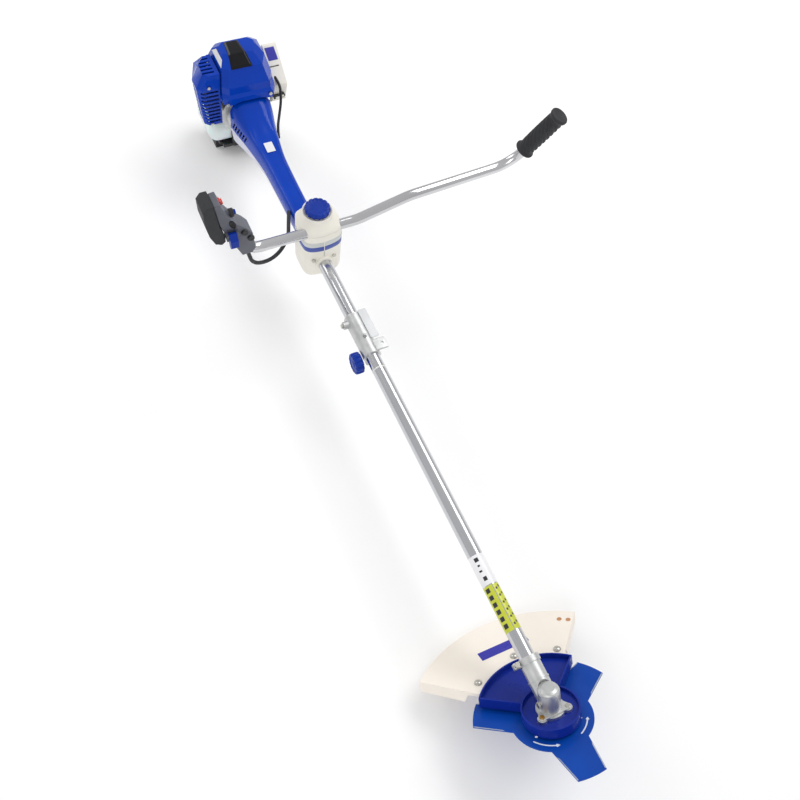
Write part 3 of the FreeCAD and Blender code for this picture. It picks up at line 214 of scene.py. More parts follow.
MAT = {
    "blue_gloss": surface(
        "BlueGloss", (0, 62, 178), (0, 47, 153), (0.16, 0.26), coat=0.2,
        grain=(1400, 0.02), mottle=(7, 0.5), waves=(22, 0.03), Specular_IOR_Level=0.12),
    "knob_blue": surface(
        "KnobBlue", (4, 50, 156), (2, 38, 128), (0.28, 0.42),
        grain=(1500, 0.12), Specular_IOR_Level=0.25),
    "navy_plastic": surface(
        "NavyPlastic", (16, 44, 150), (10, 32, 124), (0.22, 0.36), coat=0.12,
        grain=(1300, 0.06), mottle=(9, 0.6), Specular_IOR_Level=0.2),
    "black_gloss": surface(
        "BlackGloss", (16, 17, 21), (8, 8, 11), (0.12, 0.24), coat=0.1,
        grain=(1500, 0.03), Specular_IOR_Level=0.2),
    "cream_plastic": surface(
        "CreamPlastic", (249, 241, 230), (239, 230, 217), (0.42, 0.58),
        grain=(1700, 0.14), mottle=(8, 0.6)),
    # painted shade: this tan colour stands for the shade inside the guard's socket holes
    "tan_plastic": surface(
        "TanPlastic", (196, 142, 98), (176, 122, 80), (0.5, 0.62),
        grain=(1700, 0.1), mottle=(30, 0.6)),
    "bone_plastic": surface(
        "BonePlastic", (240, 237, 227), (229, 225, 214), (0.38, 0.52),
        grain=(1700, 0.12), mottle=(16, 0.6)),
    "lilac_plastic": surface(
        "LilacPlastic", (222, 222, 236), (206, 206, 224), (0.34, 0.48),
        grain=(1700, 0.10), mottle=(11, 0.6)),
    "blade_blue": surface(
        "BladeBlue", (0, 70, 170), (0, 58, 150), (0.30, 0.44), metallic=0.05, coat=0.1,
        grain=(1100, 0.10), mottle=(18, 0.7), Specular_IOR_Level=0.18),
    "steel": surface(
        "Steel", (186, 186, 188), (150, 150, 152), (0.22, 0.38), metallic=1.0,
        grain=(800, 0.08), stretch=(1, 6, 6)),
    "muffler_dark": surface(
        "MufflerDark", (58, 56, 56), (34, 33, 34), (0.4, 0.6), metallic=0.7,
        grain=(900, 0.2), mottle=(50, 0.8)),
    "zinc": surface(
        "Zinc", (205, 203, 196), (170, 168, 160), (0.20, 0.36), metallic=1.0,
        grain=(1500, 0.06), mottle=(90, 0.7)),
    "brass": surface(
        "Brass", (196, 152, 84), (150, 108, 52), (0.24, 0.4), metallic=1.0,
        grain=(1500, 0.06), mottle=(90, 0.7)),
    "cast_aluminium": surface(
        "CastAluminium", (216, 217, 216), (188, 189, 190), (0.34, 0.52), metallic=1.0,
        grain=(900, 0.30), mottle=(60, 0.8)),
    "tube_aluminium": surface(
        "TubeAluminium", (214, 215, 218), (188, 189, 193), (0.12, 0.24), metallic=1.0,
        grain=(500, 0.05), mottle=(30, 0.6), stretch=(0.05, 1, 1)),
    "chrome_steel": surface(
        "BrightBar", (218, 218, 220), (188, 188, 192), (0.10, 0.22), metallic=1.0,
        grain=(700, 0.03), mottle=(24, 0.6), stretch=(1, 0.12, 1)),
    "black_rubber": surface(
        "BlackRubber", (38, 39, 43), (26, 27, 30), (0.55, 0.72),
        grain=(1900, 0.22), mottle=(34, 0.7)),
    "grey_plastic": surface(
        "GreyPlastic", (94, 96, 106), (76, 78, 88), (0.36, 0.5),
        grain=(1700, 0.16), mottle=(26, 0.6)),
    "black_plastic": surface(
        "BlackPlastic", (34, 34, 37), (22, 22, 25), (0.32, 0.48),
        grain=(1700, 0.12), mottle=(26, 0.6)),
    "red_plastic": surface(
        "RedPlastic", (206, 44, 34), (176, 30, 24), (0.2, 0.34), coat=0.3,
        grain=(1500, 0.05)),
    "tank_white": surface(
        "TankWhite", (238, 240, 240), (224, 227, 228), (0.34, 0.5),
        grain=(1200, 0.08), mottle=(12, 0.6), Subsurface_Weight=0.4, Subsurface_Scale=0.01),
    "clear_plastic": surface(
        "ClearPlastic", (236, 238, 240), (222, 225, 228), (0.14, 0.26), coat=0.4,
        grain=(1500, 0.04), Transmission_Weight=0.3),
    "porcelain": surface(
        "Porcelain", (232, 228, 218), (214, 208, 196), (0.12, 0.2), coat=0.5,
        grain=(1500, 0.03)),
    "label_blue": surface(
        "LabelBlue", (44, 44, 166), (36, 36, 150), (0.24, 0.34), coat=0.15,
        grain=(1500, 0.02)),
    "label_yellow": surface(
        "LabelYellow", (204, 210, 58), (186, 192, 40), (0.24, 0.36), coat=0.3,
        grain=(1500, 0.02), mottle=(60, 0.6)),
    "label_white": surface(
        "LabelWhite", (240, 240, 242), (226, 226, 229), (0.24, 0.36), coat=0.3,
        grain=(1500, 0.02)),
    "label_dark": surface(
        "LabelDark", (40, 42, 48), (30, 31, 36), (0.3, 0.42),
        grain=(1500, 0.02)),
    "label_silver": surface(
        "LabelSilver", (232, 232, 232), (208, 208, 210), (0.24, 0.4), metallic=0.3,
        grain=(1200, 0.08), mottle=(80, 0.7)),
    "stripe_blue": surface(
        "StripeBlue", (66, 86, 168), (52, 70, 150), (0.3, 0.42),
        grain=(1500, 0.04)),
    "band_grey": surface(
        "BandGrey", (206, 210, 208), (192, 196, 195), (0.3, 0.44),
        grain=(1500, 0.06)),
    "print_white": surface(
        "PrintWhite", (226, 232, 240), (208, 216, 228), (0.36, 0.48),
        grain=(1500, 0.02)),
    "steel_edge": surface(
        "GroundEdge", (196, 206, 220), (160, 172, 190), (0.24, 0.38), metallic=0.9,
        grain=(600, 0.10), stretch=(1, 5, 1)),
}


# ---------------------------------------------------------------- mesh tools
def new_mesh(name, vertices, faces, material, body, slot=None):
    """A visible piece from its vertices and faces."""
    mesh = bpy.data.meshes.new(name)
    mesh.from_pydata([tuple(vertex) for vertex in vertices], [], faces)
    mesh.validate()
    obj = add_object(name, mesh)
    mesh.materials.append(MAT[material])
    recalculate(mesh)
    dress(obj, body)
    return obj


def skin(name, rings, material, body, slot=None, start=True, end=True, loop=True):
    """A mesh over rings of points, with or without its end caps."""
    return new_mesh(name, *rings_to_mesh(rings, start, end, loop), material, body, slot)


def recalculate(mesh):
    """Merge doubled points and turn every face outward."""
    bm = bmesh.new()
    bm.from_mesh(mesh)
    bmesh.ops.remove_doubles(bm, verts=bm.verts, dist=1e-6)
    bmesh.ops.recalc_face_normals(bm, faces=bm.faces)
    bm.to_mesh(mesh)
    bm.free()


def dress(obj, body):
    """Attach a piece to the body it rides on, if it has one."""
    if body:
        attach(obj, body)


def bevel(obj, width, segments=3, angle=28):
    """Round the edges that are sharper than an angle and shade the rest smooth."""
    mod = obj.modifiers.new("Bevel", "BEVEL")
    mod.width = width / 1000
    mod.segments = segments
    mod.limit_method = "ANGLE"
    mod.angle_limit = math.radians(angle)
    mod.harden_normals = True
    smooth(obj, 60)


def smooth(obj, angle=35):
    """Shade smooth, but keep the edges sharper than an angle."""
    for polygon in obj.data.polygons:
        polygon.use_smooth = True
    obj.data.set_sharp_from_angle(angle=math.radians(angle))
    return obj


def final_mesh(obj):
    """A new mesh of an object as its modifiers or its curve settings shape it."""
    graph = bpy.context.evaluated_depsgraph_get()
    return bpy.data.meshes.new_from_object(obj.evaluated_get(graph))


def settle(obj):
    """Apply every modifier of an object."""
    shape = final_mesh(obj)
    obj.modifiers.clear()
    obj.data = shape


def thicken(obj, thickness):
    """Give an open skin its wall, inward."""
    mod = obj.modifiers.new("Solidify", "SOLIDIFY")
    mod.thickness = thickness / 1000
    mod.offset = -1
    settle(obj)


def carve(obj, cutters):
    """Cut closed tool meshes out of an object, and remove the tools."""
    for cutter in cutters:
        mod = obj.modifiers.new("Carve", "BOOLEAN")
        mod.operation = "DIFFERENCE"
        mod.solver = "EXACT"
        mod.object = cutter
    bpy.context.view_layer.update()
    settle(obj)
    for cutter in cutters:
        bpy.data.objects.remove(cutter)


def tool_box(low, high, spin=0.0):
    """A closed box between two corners for carving, spun about its own level cross axis."""
    corners = [Vector((x, y, z)) for x in (low.x, high.x) for y in (low.y, high.y)
               for z in (low.z, high.z)]
    middle = (low + high) / 2
    turn = Matrix.Rotation(spin, 3, "Y")
    corners = [middle + turn @ (corner - middle) for corner in corners]
    faces = [(0, 1, 3, 2), (4, 6, 7, 5), (0, 4, 5, 1), (2, 3, 7, 6), (0, 2, 6, 4), (1, 5, 7, 3)]
    mesh = bpy.data.meshes.new("Tool")
    mesh.from_pydata([tuple(corner) for corner in corners], [], faces)
    recalculate(mesh)
    return add_object("Tool", mesh)


def rings_to_mesh(rings, closed_start=True, closed_end=True, loop=True):
    """Vertices and faces of a skin over rings of equally many points."""
    count = len(rings[0])
    vertices = [point for ring in rings for point in ring]
    faces = []
    for level in range(len(rings) - 1):
        for number in range(count if loop else count - 1):
            after = (number + 1) % count
            faces.append((level * count + number, level * count + after,
                          (level + 1) * count + after, (level + 1) * count + number))
    if closed_start:
        faces.append(tuple(range(count - 1, -1, -1)))
    if closed_end:
        faces.append(tuple((len(rings) - 1) * count + number for number in range(count)))
    return vertices, faces


def lathe(name, profile, place, axis, material, body, slot=None, count=48, shape=None):
    """Turn a (radius, height) outline about an axis; shape(turn, radius) may change the radius."""
    turn_to = Vector((0, 0, 1)).rotation_difference(Vector(axis)).to_matrix()
    rings = []
    for radius, height in profile:
        ring = []
        for number in range(count):
            turn = 2 * math.pi * number / count
            out = shape(turn, radius) if shape else radius
            ring.append(place + turn_to @ (Vector((*polar(out, turn), height)) / 1000))
        rings.append(ring)
    return skin(name, rings, material, body, slot)


def tube_along(name, points, radius, material, body, sides=16):
    """A round tube on a smooth NURBS line with these control points."""
    curve = bpy.data.curves.new(name, "CURVE")
    curve.dimensions = "3D"
    spline = curve.splines.new("NURBS")
    spline.points.add(len(points) - 1)
    for spot, point in zip(spline.points, points):
        spot.co = (*point, 1)
    spline.order_u = 3
    spline.use_endpoint_u = True
    curve.resolution_u = 10
    curve.bevel_depth = radius / 1000
    curve.bevel_resolution = sides // 4
    curve.use_fill_caps = True
    holder = add_object(name + "_line", curve)
    bpy.context.view_layer.update()
    mesh = final_mesh(holder)
    bpy.data.objects.remove(holder)
    mesh.materials.clear()
    mesh.materials.append(MAT[material])
    obj = smooth(add_object(name, mesh), 50)
    dress(obj, body)
    return obj


def refined(node, width, segments=2, material=None):
    """A copy of a CAD node with clean faces and rounded edges, which stands for it."""
    mesh = NODES[node].data.copy()
    mesh.name = node + "_skin"
    if "custom_normal" in mesh.attributes:
        mesh.attributes.remove(mesh.attributes["custom_normal"])
    obj = add_object(node + "_skin", mesh)
    bm = bmesh.new()
    bm.from_mesh(mesh)
    bmesh.ops.remove_doubles(bm, verts=bm.verts, dist=3e-6)
    bmesh.ops.dissolve_limit(bm, angle_limit=math.radians(0.8), verts=bm.verts, edges=bm.edges)
    bm.to_mesh(mesh)
    bm.free()
    mesh.materials.clear()
    mesh.materials.append(MAT[material or SLOT_OF[node]])
    bevel(obj, width, segments)
    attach(obj, BODY_OF[node])
    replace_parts(obj, node)
    return obj


def rounded_outline(points):
    """Cut the corners of a closed outline three times over."""
    for _ in range(3):
        cut = []
        for here, after in zip(points, points[1:] + points[:1]):
            for share in (0.22, 1 - 0.22):
                cut.append(tuple(a + (b - a) * share for a, b in zip(here, after)))
        points = cut
    return points


def reach(outline, center, angle):
    """How far an outline lies from a centre in one direction."""
    direction = (math.cos(angle), math.sin(angle))
    best = 0.0
    for (ax, ay), (bx, by) in zip(outline, outline[1:] + outline[:1]):
        ex, ey = bx - ax, by - ay
        px, py = ax - center[0], ay - center[1]
        across = direction[0] * ey - direction[1] * ex
        if abs(across) < 1e-9:
            continue
        far = (px * ey - py * ex) / across
        along = (px * direction[1] - py * direction[0]) / across
        if far > 0 and -1e-6 <= along <= 1 + 1e-6:
            best = max(best, far)
    return best


def ease(value, low, high):
    """A smooth step from 0 to 1 between two values."""
    share = min(max((value - low) / (high - low), 0), 1)
    return share * share * (3 - 2 * share)


def patch(name, corners, thickness, material, slot, radius=1.5):
    """A thin plate on the frame with four corners, a rounded outline and a soft edge."""
    normal = (corners[1] - corners[0]).cross(corners[3] - corners[0]).normalized()
    outline = []
    for here, before, after in zip(corners, corners[-1:] + corners[:-1],
                                   corners[1:] + corners[:1]):
        first = here + (before - here).normalized() * radius / 1000
        last = here + (after - here).normalized() * radius / 1000
        for step in range(5):
            share = step / 4
            outline.append(first * (1 - share) ** 2 + here * 2 * share * (1 - share)
                           + last * share ** 2)
    top = [point + normal * thickness / 1000 for point in outline]
    obj = skin(name, [outline, top], material, "frame", slot)
    bevel(obj, min(0.25, thickness * 0.4), 2, 40)


# ---------------------------------------------------------------- cutting head
BLADE_TOP = -34.9
ARROW_RADIUS = 57
ARROW_HEAD = 0.14


def make_arrow(start, stop):
    """A flat direction arrow on the blade, bent round its centre between two angles."""
    rings = []
    for step in range(25):
        share = step / 24
        turn = math.radians(start + (stop - start) * share)
        width = 1.1
        if share > 1 - ARROW_HEAD:
            width = 3.4 * (1 - share) / ARROW_HEAD + 0.05
        rings.append([in_head(*polar(ARROW_RADIUS + offset, turn), z)
                      for offset, z in ((-width, BLADE_TOP - 0.04), (width, BLADE_TOP - 0.04),
                                        (width, BLADE_TOP + 0.06), (-width, BLADE_TOP + 0.06))])
    skin("blade_mark", rings, "print_white", "cutter", "blade_blue")


def make_edge(middle, side):
    """The ground edge along one side of a blade tooth, whose middle lies at an angle."""
    root = Vector((66, side * 31.6))
    run = Vector((124.4, side * 24.4)) - root
    inward = Vector((-run.y, run.x)).normalized() * -side
    rings = []
    for share, width in ((0.12, 0.2), (0.2, 1.6), (0.98, 1.9), (0.995, 0.6)):
        spot = root + run * share
        outer = spot - inward * 0.02
        inner = spot + inward * width
        ring = []
        for corner, z in ((outer, BLADE_TOP - 0.2), (inner, BLADE_TOP - 0.03),
                          (inner, BLADE_TOP), (outer, BLADE_TOP)):
            x = corner.x * math.cos(middle) - corner.y * math.sin(middle)
            y = corner.x * math.sin(middle) + corner.y * math.cos(middle)
            ring.append(in_head(x, y, z))
        rings.append(ring)
    skin("blade_edge", rings, "steel_edge", "cutter", "blade_blue")


def make_blade():
    refined("blade", 0.35)
    for start, stop in ((-62, -18), (22, 58)):
        make_arrow(start, stop)
    for arm in range(3):
        for side in (-1, 1):
            make_edge(math.radians(-3.3 + 120 * arm), side)


LOBE_RADIUS = 27


def make_gear_head():
    for node, width in (("gear_case", 0.7), ("gear_case_cap", 0.5), ("blade_adapter", 0.5),
                        ("blade_cup", 0.6), ("blade_nut", 0.5)):
        refined(node, width)
    rim = [(14.2, 28.9), (15.6, 28.4), (16.6, 27.3), (16.2, 27.9), (15.2, 28.9), (14.4, 29.3)]
    lathe("cap_rim", rim, at(0), HEAD_UP, "cast_aluminium", "frame", "cast_aluminium")
    # one plate joins the three lobes of the flange
    flange = []
    for height, inset in ((-15.4, 0), (-11, 0), (-10.5, 0.5)):
        ring = []
        for corner in (60, 180, 300):
            x, y = polar(LOBE_RADIUS, math.radians(corner))
            for turn in range(corner - 60, corner + 61, 12):
                out_x, out_y = polar(6 - inset, math.radians(turn))
                ring.append(in_head(x + out_x, y + out_y, height))
        flange.append(ring)
    smooth(skin("head_flange", flange, "cast_aluminium", "frame", "cast_aluminium"))
    bolt = [(0, 0), (4.2, 0), (4.4, 0.5), (4.0, 1.4), (2.2, 1.6), (2.0, 0.8), (0, 0.8)]
    lathe("foot_bolt", bolt, in_head(*polar(LOBE_RADIUS, math.radians(300)), -10.2), HEAD_UP,
          "brass", "frame", "zinc", 24)


GUARD_TOP = -17.0
SOCKET_RADIUS = 208


def make_guard():
    for node, width in (("guard_bracket", 0.8), ("guard_skirt", 0.9), ("guard_bolts", 0.4)):
        refined(node, width)
    left, right = Vector((-161.3, 51)), Vector((-161.9, -42))
    run = (right - left).normalized()
    across = Vector((-run.y, run.x)) * 10
    corners = [in_head(*spot, GUARD_TOP + 0.02)
               for spot in (left - across, right - across, right + across, left + across)]
    patch("guard_label", corners, 0.3, "label_blue", "cream_plastic", 1.0)
    for turn in (143.6, 139.2):
        place = in_head(*polar(SOCKET_RADIUS, math.radians(turn)), GUARD_TOP)
        # a tan disc just under each socket's mouth is painted shade, standing for the shade deep in
        # the hole
        lathe("socket_shade_disc", [(0, 0.3), (4.6, 0.3), (4.6, -0.8), (0, -0.8)], place, HEAD_UP,
              "tan_plastic", "frame", "cream_plastic", 32)
        lip = [(4.5, 0.2), (4.6, 0.5), (5.6, 0.5), (5.9, 0.1), (5.6, -0.5)]
        lathe("socket_lip", lip, place, HEAD_UP, "cream_plastic", "frame", "cream_plastic", 32)


# ---------------------------------------------------------------- shaft
def sleeve_label(name, near, far, start, stop, material, lift=0.25):
    """A curved sticker on the tube between two distances and two angles from the top."""
    rings = []
    steps = 28
    for distance in (near, near + 0.6, far - 0.6, far):
        edge = 0.12 if distance in (near, far) else lift
        outer, inner = [], []
        for step in range(steps + 1):
            turn = math.radians(start + (stop - start) * step / steps)
            rim = 0.1 if step in (0, steps) else edge
            z, y = polar(TUBE_RADIUS + rim, turn)
            outer.append(at(distance, y, z))
            z, y = polar(TUBE_RADIUS, turn)
            inner.append(at(distance, y, z))
        rings.append(outer + inner[::-1])
    smooth(skin(name, rings, material, "frame", "tube_aluminium"), 40)


def make_shaft():
    sleeve_label("tube_label_yellow_a", 122, 205, -96, -8, "label_yellow")
    sleeve_label("tube_label_yellow_b", 122, 205, -2, 62, "label_yellow")
    sleeve_label("tube_label_white", 206.5, 262, -96, 62, "label_white")
    marks = []
    for number in range(6):
        near = 128 + number * 13
        marks.append(("dot", near, near + 8.6, -72, -34))
        for start in (8, 32):
            low = near + start / 8
            marks.append(("mark", low, low + 4.6, start, start + 14))
    for near, far, start, stop in ((214, 222, -40, -12), (230, 234, -44, -20),
                                   (240, 244, -36, -18), (249, 257, -40, -8)):
        marks.append(("line", near, far, start, stop))
    for kind, near, far, start, stop in marks:
        sleeve_label("tube_label_" + kind, near, far, start, stop, "label_dark", 0.36)
    for node, width in (("coupler_body", 0.8), ("coupler_pin", 0.3), ("coupler_flap", 0.5)):
        refined(node, width)
    sleeve_label("tube_stripe", 668, 671, -180, 180, "label_silver", 0.3)


# ---------------------------------------------------------------- knobs
KNOB_AT = (992, 0)


def scallops(count, depth):
    """Finger scoops round a knob, for lathe's shape."""
    def shape(turn, radius):
        scoop = (0.5 + 0.5 * math.cos(count * turn)) ** 3
        return radius - depth * scoop * ease(radius, 12, 20)
    return shape


def make_knobs():
    place = at(*KNOB_AT, 109.4)
    profile = [(0, 0.4), (18.5, 0.4), (24, 1.4), (25.6, 3.4), (25.9, 6), (25.9, 8.6), (25.4, 10.8),
               (23.6, 12.6), (21.6, 13.1), (20.4, 12.8), (19.6, 11.9), (18.2, 11.5), (10, 11.7),
               (0, 11.9)]
    knob = lathe("bar_knob_look", profile, place, (0, 0, 1), "knob_blue", "bar_knob", "blue_gloss",
                 144, scallops(14, 1.9))
    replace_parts(smooth(knob, 50), "clamp_knob")
    for number in range(8):
        turn = math.pi * number / 4
        inner = place + Vector((*polar(9, turn), 11.5)) / 1000
        outer = place + Vector((*polar(17.5, turn), 11.4)) / 1000
        tube_along("bar_knob_rib", [inner, (inner + outer) / 2, outer], 0.7, "knob_blue",
                   "bar_knob", 8)
    profile = [(0, 0.2), (15.5, 0.2), (20.4, 1.6), (21.7, 4), (21.9, 8), (21.9, 13.6), (21.2, 16.6),
               (19.4, 18.4), (17.6, 18.9), (16, 18.2), (14.6, 17.4), (8, 17.2), (6.6, 18.2),
               (5.6, 18.6), (0, 18.7)]
    knob = lathe("tube_knob_look", profile, at(710, -19, -18), (0, -1, 0), "knob_blue", "tube_knob",
                 "blue_gloss", 144, scallops(12, 2.4))
    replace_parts(smooth(knob, 50), "coupler_knob")


# ---------------------------------------------------------------- clamp
CLAMP = [(950, 0), (952, -17), (956, -30), (966, -39), (1016, -39), (1029, -31), (1030, 36),
         (1018, 45), (966, 45), (956, 34), (952, 18)]
COLLAR_RADIUS = 30.6


def round_knob(radius, turn, z):
    """A point round the knob's upright axis."""
    along, y = polar(radius, turn)
    return at(KNOB_AT[0] + along, y, z)


def clamp_ring(outline, z, share=0.0, scale=1.0):
    """Level ring round the clamp that turns from its outline into the knob's collar."""
    ring = []
    for number in range(96):
        turn = 2 * math.pi * number / 96
        wide = reach(outline, KNOB_AT, turn) * scale
        ring.append(round_knob(wide * (1 - share) + COLLAR_RADIUS * share, turn, z))
    return ring


def clamp_band(name, outline, low, high, material):
    """A raised band round the clamp between two heights, open at the front seam and the back."""
    section = ((-0.3, low), (0.4, low), (0.6, low + 0.5), (0.6, high - 0.5), (0.4, high),
               (-0.3, high))
    for start, stop in ((58, 178.6), (181.4, 302)):
        rings = []
        for step in range(41):
            turn = math.radians(start + (stop - start) * step / 40)
            out = reach(outline, KNOB_AT, turn)
            rings.append([round_knob(out + lift, turn, z) for lift, z in section])
        smooth(skin(name, rings, material, "frame", "cream_plastic"), 30)


def make_clamp():
    outline = rounded_outline(CLAMP)
    levels = [(-38, 0.93), (-36.6, 0.965), (-33, 0.992), (-28, 1), (30, 1), (34, 1), (62, 1),
              (79.7, 1)]
    rings = [clamp_ring(outline, z, 0, scale) for z, scale in levels]
    base = skin("clamp_base_look", rings, "bone_plastic", None)
    carve(base, [tool_box(at(957, -0.55, -40), at(946, 0.55, 37)),
                 tool_box(at(1036, -0.4, -40), at(1027, 0.4, 79))])
    smooth(base)
    dress(base, "frame")
    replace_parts(base, "clamp_base")
    rings = []
    for z in (80.1, 80.6, 83, 86, 89, 92, 95, 98, 101, 104, 107, 110, 111.4, 111.9):
        rings.append(clamp_ring(outline, z, ease(z, 82, 107), 0.994 if z < 80.4 else 1.0))
    for radius, z in ((29.6, 112), (28.2, 111.9), (27.4, 111.2), (27.3, 108.2)):
        rings.append([round_knob(radius, 2 * math.pi * number / 96, z) for number in range(96)])
    cover = skin("clamp_cover_look", rings, "bone_plastic", "frame", "cream_plastic")
    smooth(cover, 40)
    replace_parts(cover, "clamp_cover")
    clamp_band("clamp_band", outline, 50.5, 63, "band_grey")
    clamp_band("clamp_stripe", outline, 37.5, 50, "stripe_blue")
    collar = [(14.1, 0), (17.6, 0), (18.4, 1), (18.4, 4.5), (17.6, 6.2), (15.4, 6.8), (14.1, 6.8)]
    lathe("clamp_collar", collar, at(952, 0, 0), (1, 0, 0), "bone_plastic", "frame",
          "cream_plastic")
    screw = [(0, 0), (4.4, 0), (4.5, 0.6), (4.1, 1.6), (2.2, 1.8), (1.9, 0.9), (0, 0.9)]
    for side in (-1, 1):
        lathe("clamp_screw", screw, at(953.4, side * 22, 12), (1, 0, 0), "zinc", "frame", "zinc",
              24)


# ---------------------------------------------------------------- handlebar
def make_grip():
    """The ribbed left grip: smooth end rims and diagonal ribs between them."""
    base = at(970, 449, 153)
    axis = Vector((25, 40, 95)).normalized()
    side = axis.orthogonal().normalized()
    other = axis.cross(side)
    count, rows = 120, 150
    inner_end = [(11.2, -2), (19, -2), (20.6, -1.4), (21, 0), (21, 1.6), (20.2, 2.8), (18.2, 4),
                 (17.2, 7)]
    outer_end = [(17, 101.5), (18.8, 104), (19.4, 106), (19.4, 109), (18.6, 110.2), (17.2, 110.9),
                 (15.6, 111.2), (13, 110.2), (8, 108.6), (0.5, 108.2)]
    ribbed = []
    for row in range(rows):
        height = 8 + 92 * row / (rows - 1)
        ribbed.append((16.4 + 0.7 * math.cos((height - 54) / 46 * 1.4), height))
    rings = []
    for radius, height in inner_end + ribbed + outer_end:
        strength = ease(height, 9, 13) * (1 - ease(height, 95, 99))
        ring = []
        for number in range(count):
            turn = 2 * math.pi * number / count
            wave = math.sin(10 * turn + height * 0.52)
            lift = 0.75 * max(-1, min(1, 2.2 * wave)) * strength
            across, along = polar((radius + lift) / 1000, turn)
            ring.append(base + axis * height / 1000 + side * across + other * along)
        rings.append(ring)
    grip = skin("left_grip_look", rings, "black_rubber", "bars", "black_rubber")
    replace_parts(smooth(grip, 60), "left_grip")


# ---------------------------------------------------------------- throttle handle
# the front face of the handle, as a distance behind the head
FACE = 947
WINDOW_AT = (-184.4, 188)
WINDOW_LEAN = math.radians(20)


def window_point(half_width, half_height, turn, depth):
    """A point of the leaning oval window in the handle's front face."""
    across, up = half_width * math.cos(turn), half_height * math.sin(turn)
    y = across * math.cos(WINDOW_LEAN) - up * math.sin(WINDOW_LEAN)
    z = across * math.sin(WINDOW_LEAN) + up * math.cos(WINDOW_LEAN)
    return at(FACE + depth, WINDOW_AT[0] + y, WINDOW_AT[1] + z)


def make_throttle():
    refined("throttle_housing", 1.0, 3)
    refined("throttle_rubber", 2.6, 4)
    refined("throttle_trigger", 0.8, 3, "knob_blue")
    refined("throttle_lock_button", 0.6, 3, "knob_blue")
    refined("stop_switch", 0.6, 3)
    refined("throttle_screws", 0.5)
    boss = [(0, 0), (6.8, 0), (7.0, 0.8), (6.6, 3.4), (5.6, 4.2), (3.2, 4.4), (2.8, 3.4), (0, 3.4)]
    for y, z in ((-163, 160), (-152, 141)):
        lathe("throttle_boss", boss, at(FACE, y, z), (1, 0, 0), "black_plastic", "bars",
              "black_plastic", 32)
    rings = [[window_point(half_width, half_height, 2 * math.pi * number / 32, depth)
              for number in range(32)]
             for half_width, half_height, depth in ((4.2, 9.5, -0.15), (5.4, 11, -0.7),
                                                    (5.4 * 1.06, 11 * 1.04, 0.4))]
    smooth(skin("throttle_window", rings, "black_gloss", "bars", "black_plastic"), 40)
    collar = [(5.0, 0), (8.2, 0), (8.4, 1), (8.4, 7), (7.6, 8), (5.0, 8)]
    lathe("lock_collar", collar, at(966, -184, 199), (0, 1, 0), "black_plastic", "bars",
          "black_plastic", 32)


# ---------------------------------------------------------------- cables
ROPE_AT = (1531, -22)


def make_cables():
    front = [at(953.5, -158, 95.6), at(954, -155, 80), at(957, -150, 58), at(968, -132, 32),
             at(990, -98, 6), at(1010, -68, 3), at(1032, -46, 13), at(1058, -36, 17),
             at(1088, -24, 18)]
    cable = tube_along("front_cable_look", front, 4, "black_rubber", None, 20)
    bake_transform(cable)
    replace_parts(cable, "throttle_cable")
    rear = [at(1302, 35, 14), at(1340, 46, 6), at(1374, 64, 14), at(1394, 76, 36),
            at(1404, 76, 75), at(1441.5, 72, 66)]
    cable = tube_along("rear_cable_look", rear, 3, "black_rubber", "frame")
    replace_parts(cable, "throttle_cable")
    hose = [at(1500, 64, -55.5), at(1500, 65, -20), at(1490, 72, 10), at(1478, 78, 30),
            at(1477, 79, 45)]
    hose = tube_along("fuel_hose_look", hose, 2.8, "black_rubber", "frame")
    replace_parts(hose, "fuel_hose")
    # a short stub of the starter rope
    rope = []
    for step in range(9):
        ring = [polar(1.3, number * math.pi / 5) for number in range(10)]
        rope.append([at(ROPE_AT[0] + along, -57.5 - 3.0 * step / 8, ROPE_AT[1] + up)
                     for along, up in ring])
    rope = skin("starter_rope", rope, "black_rubber", None, "black_plastic")
    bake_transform(rope)


# ---------------------------------------------------------------- neck
# distance behind the head, half width, height over the axis and depth under it
NECK = [(1031.5, 23, 25, 25), (1150, 23.5, 26, 26), (1240, 25, 28, 28), (1320, 36, 39, 38),
        (1384.5, 49, 68, 50)]
NECK_FRONT, NECK_REAR = NECK[0][0], NECK[-1][0]


def neck_size(distance):
    """Half width, height and depth of the neck at a distance behind the head."""
    for (near, *low), (far, *high) in zip(NECK, NECK[1:]):
        if distance <= far:
            share = min(max((distance - near) / (far - near), 0), 1)
            return [a + (b - a) * share for a, b in zip(low, high)]
    return NECK[-1][1:]


def soft_neck_size(distance):
    """The neck's size averaged over a window, with the place itself counted three times more."""
    pool = [neck_size(min(max(distance + shift, NECK_FRONT), NECK_REAR))
            for shift in range(-28, 29, 4)]
    pool += [neck_size(distance)] * 3
    return [sum(size[k] for size in pool) / len(pool) for k in range(3)]


def round_section(half, up, corner):
    """Right half of a section with broad shoulders, from the seam to the crown."""
    core = half - corner
    side = [(half, -5), (half, 2), (half, (up - corner) * 0.6)]
    shoulder = [(core + corner * math.cos(math.radians(turn)),
                 up - corner + corner * math.sin(math.radians(turn)))
                for turn in (6, 24, 42, 58, 74, 90)]
    return side + shoulder + [(core * 0.7, up), (core * 0.35, up), (0, up)]


def section_ring(distance, right):
    """Whole ring at a distance from the right half of its section."""
    whole = right + [(-y, z) for y, z in right[-2::-1]]
    return [at(distance, y, z) for y, z in whole]


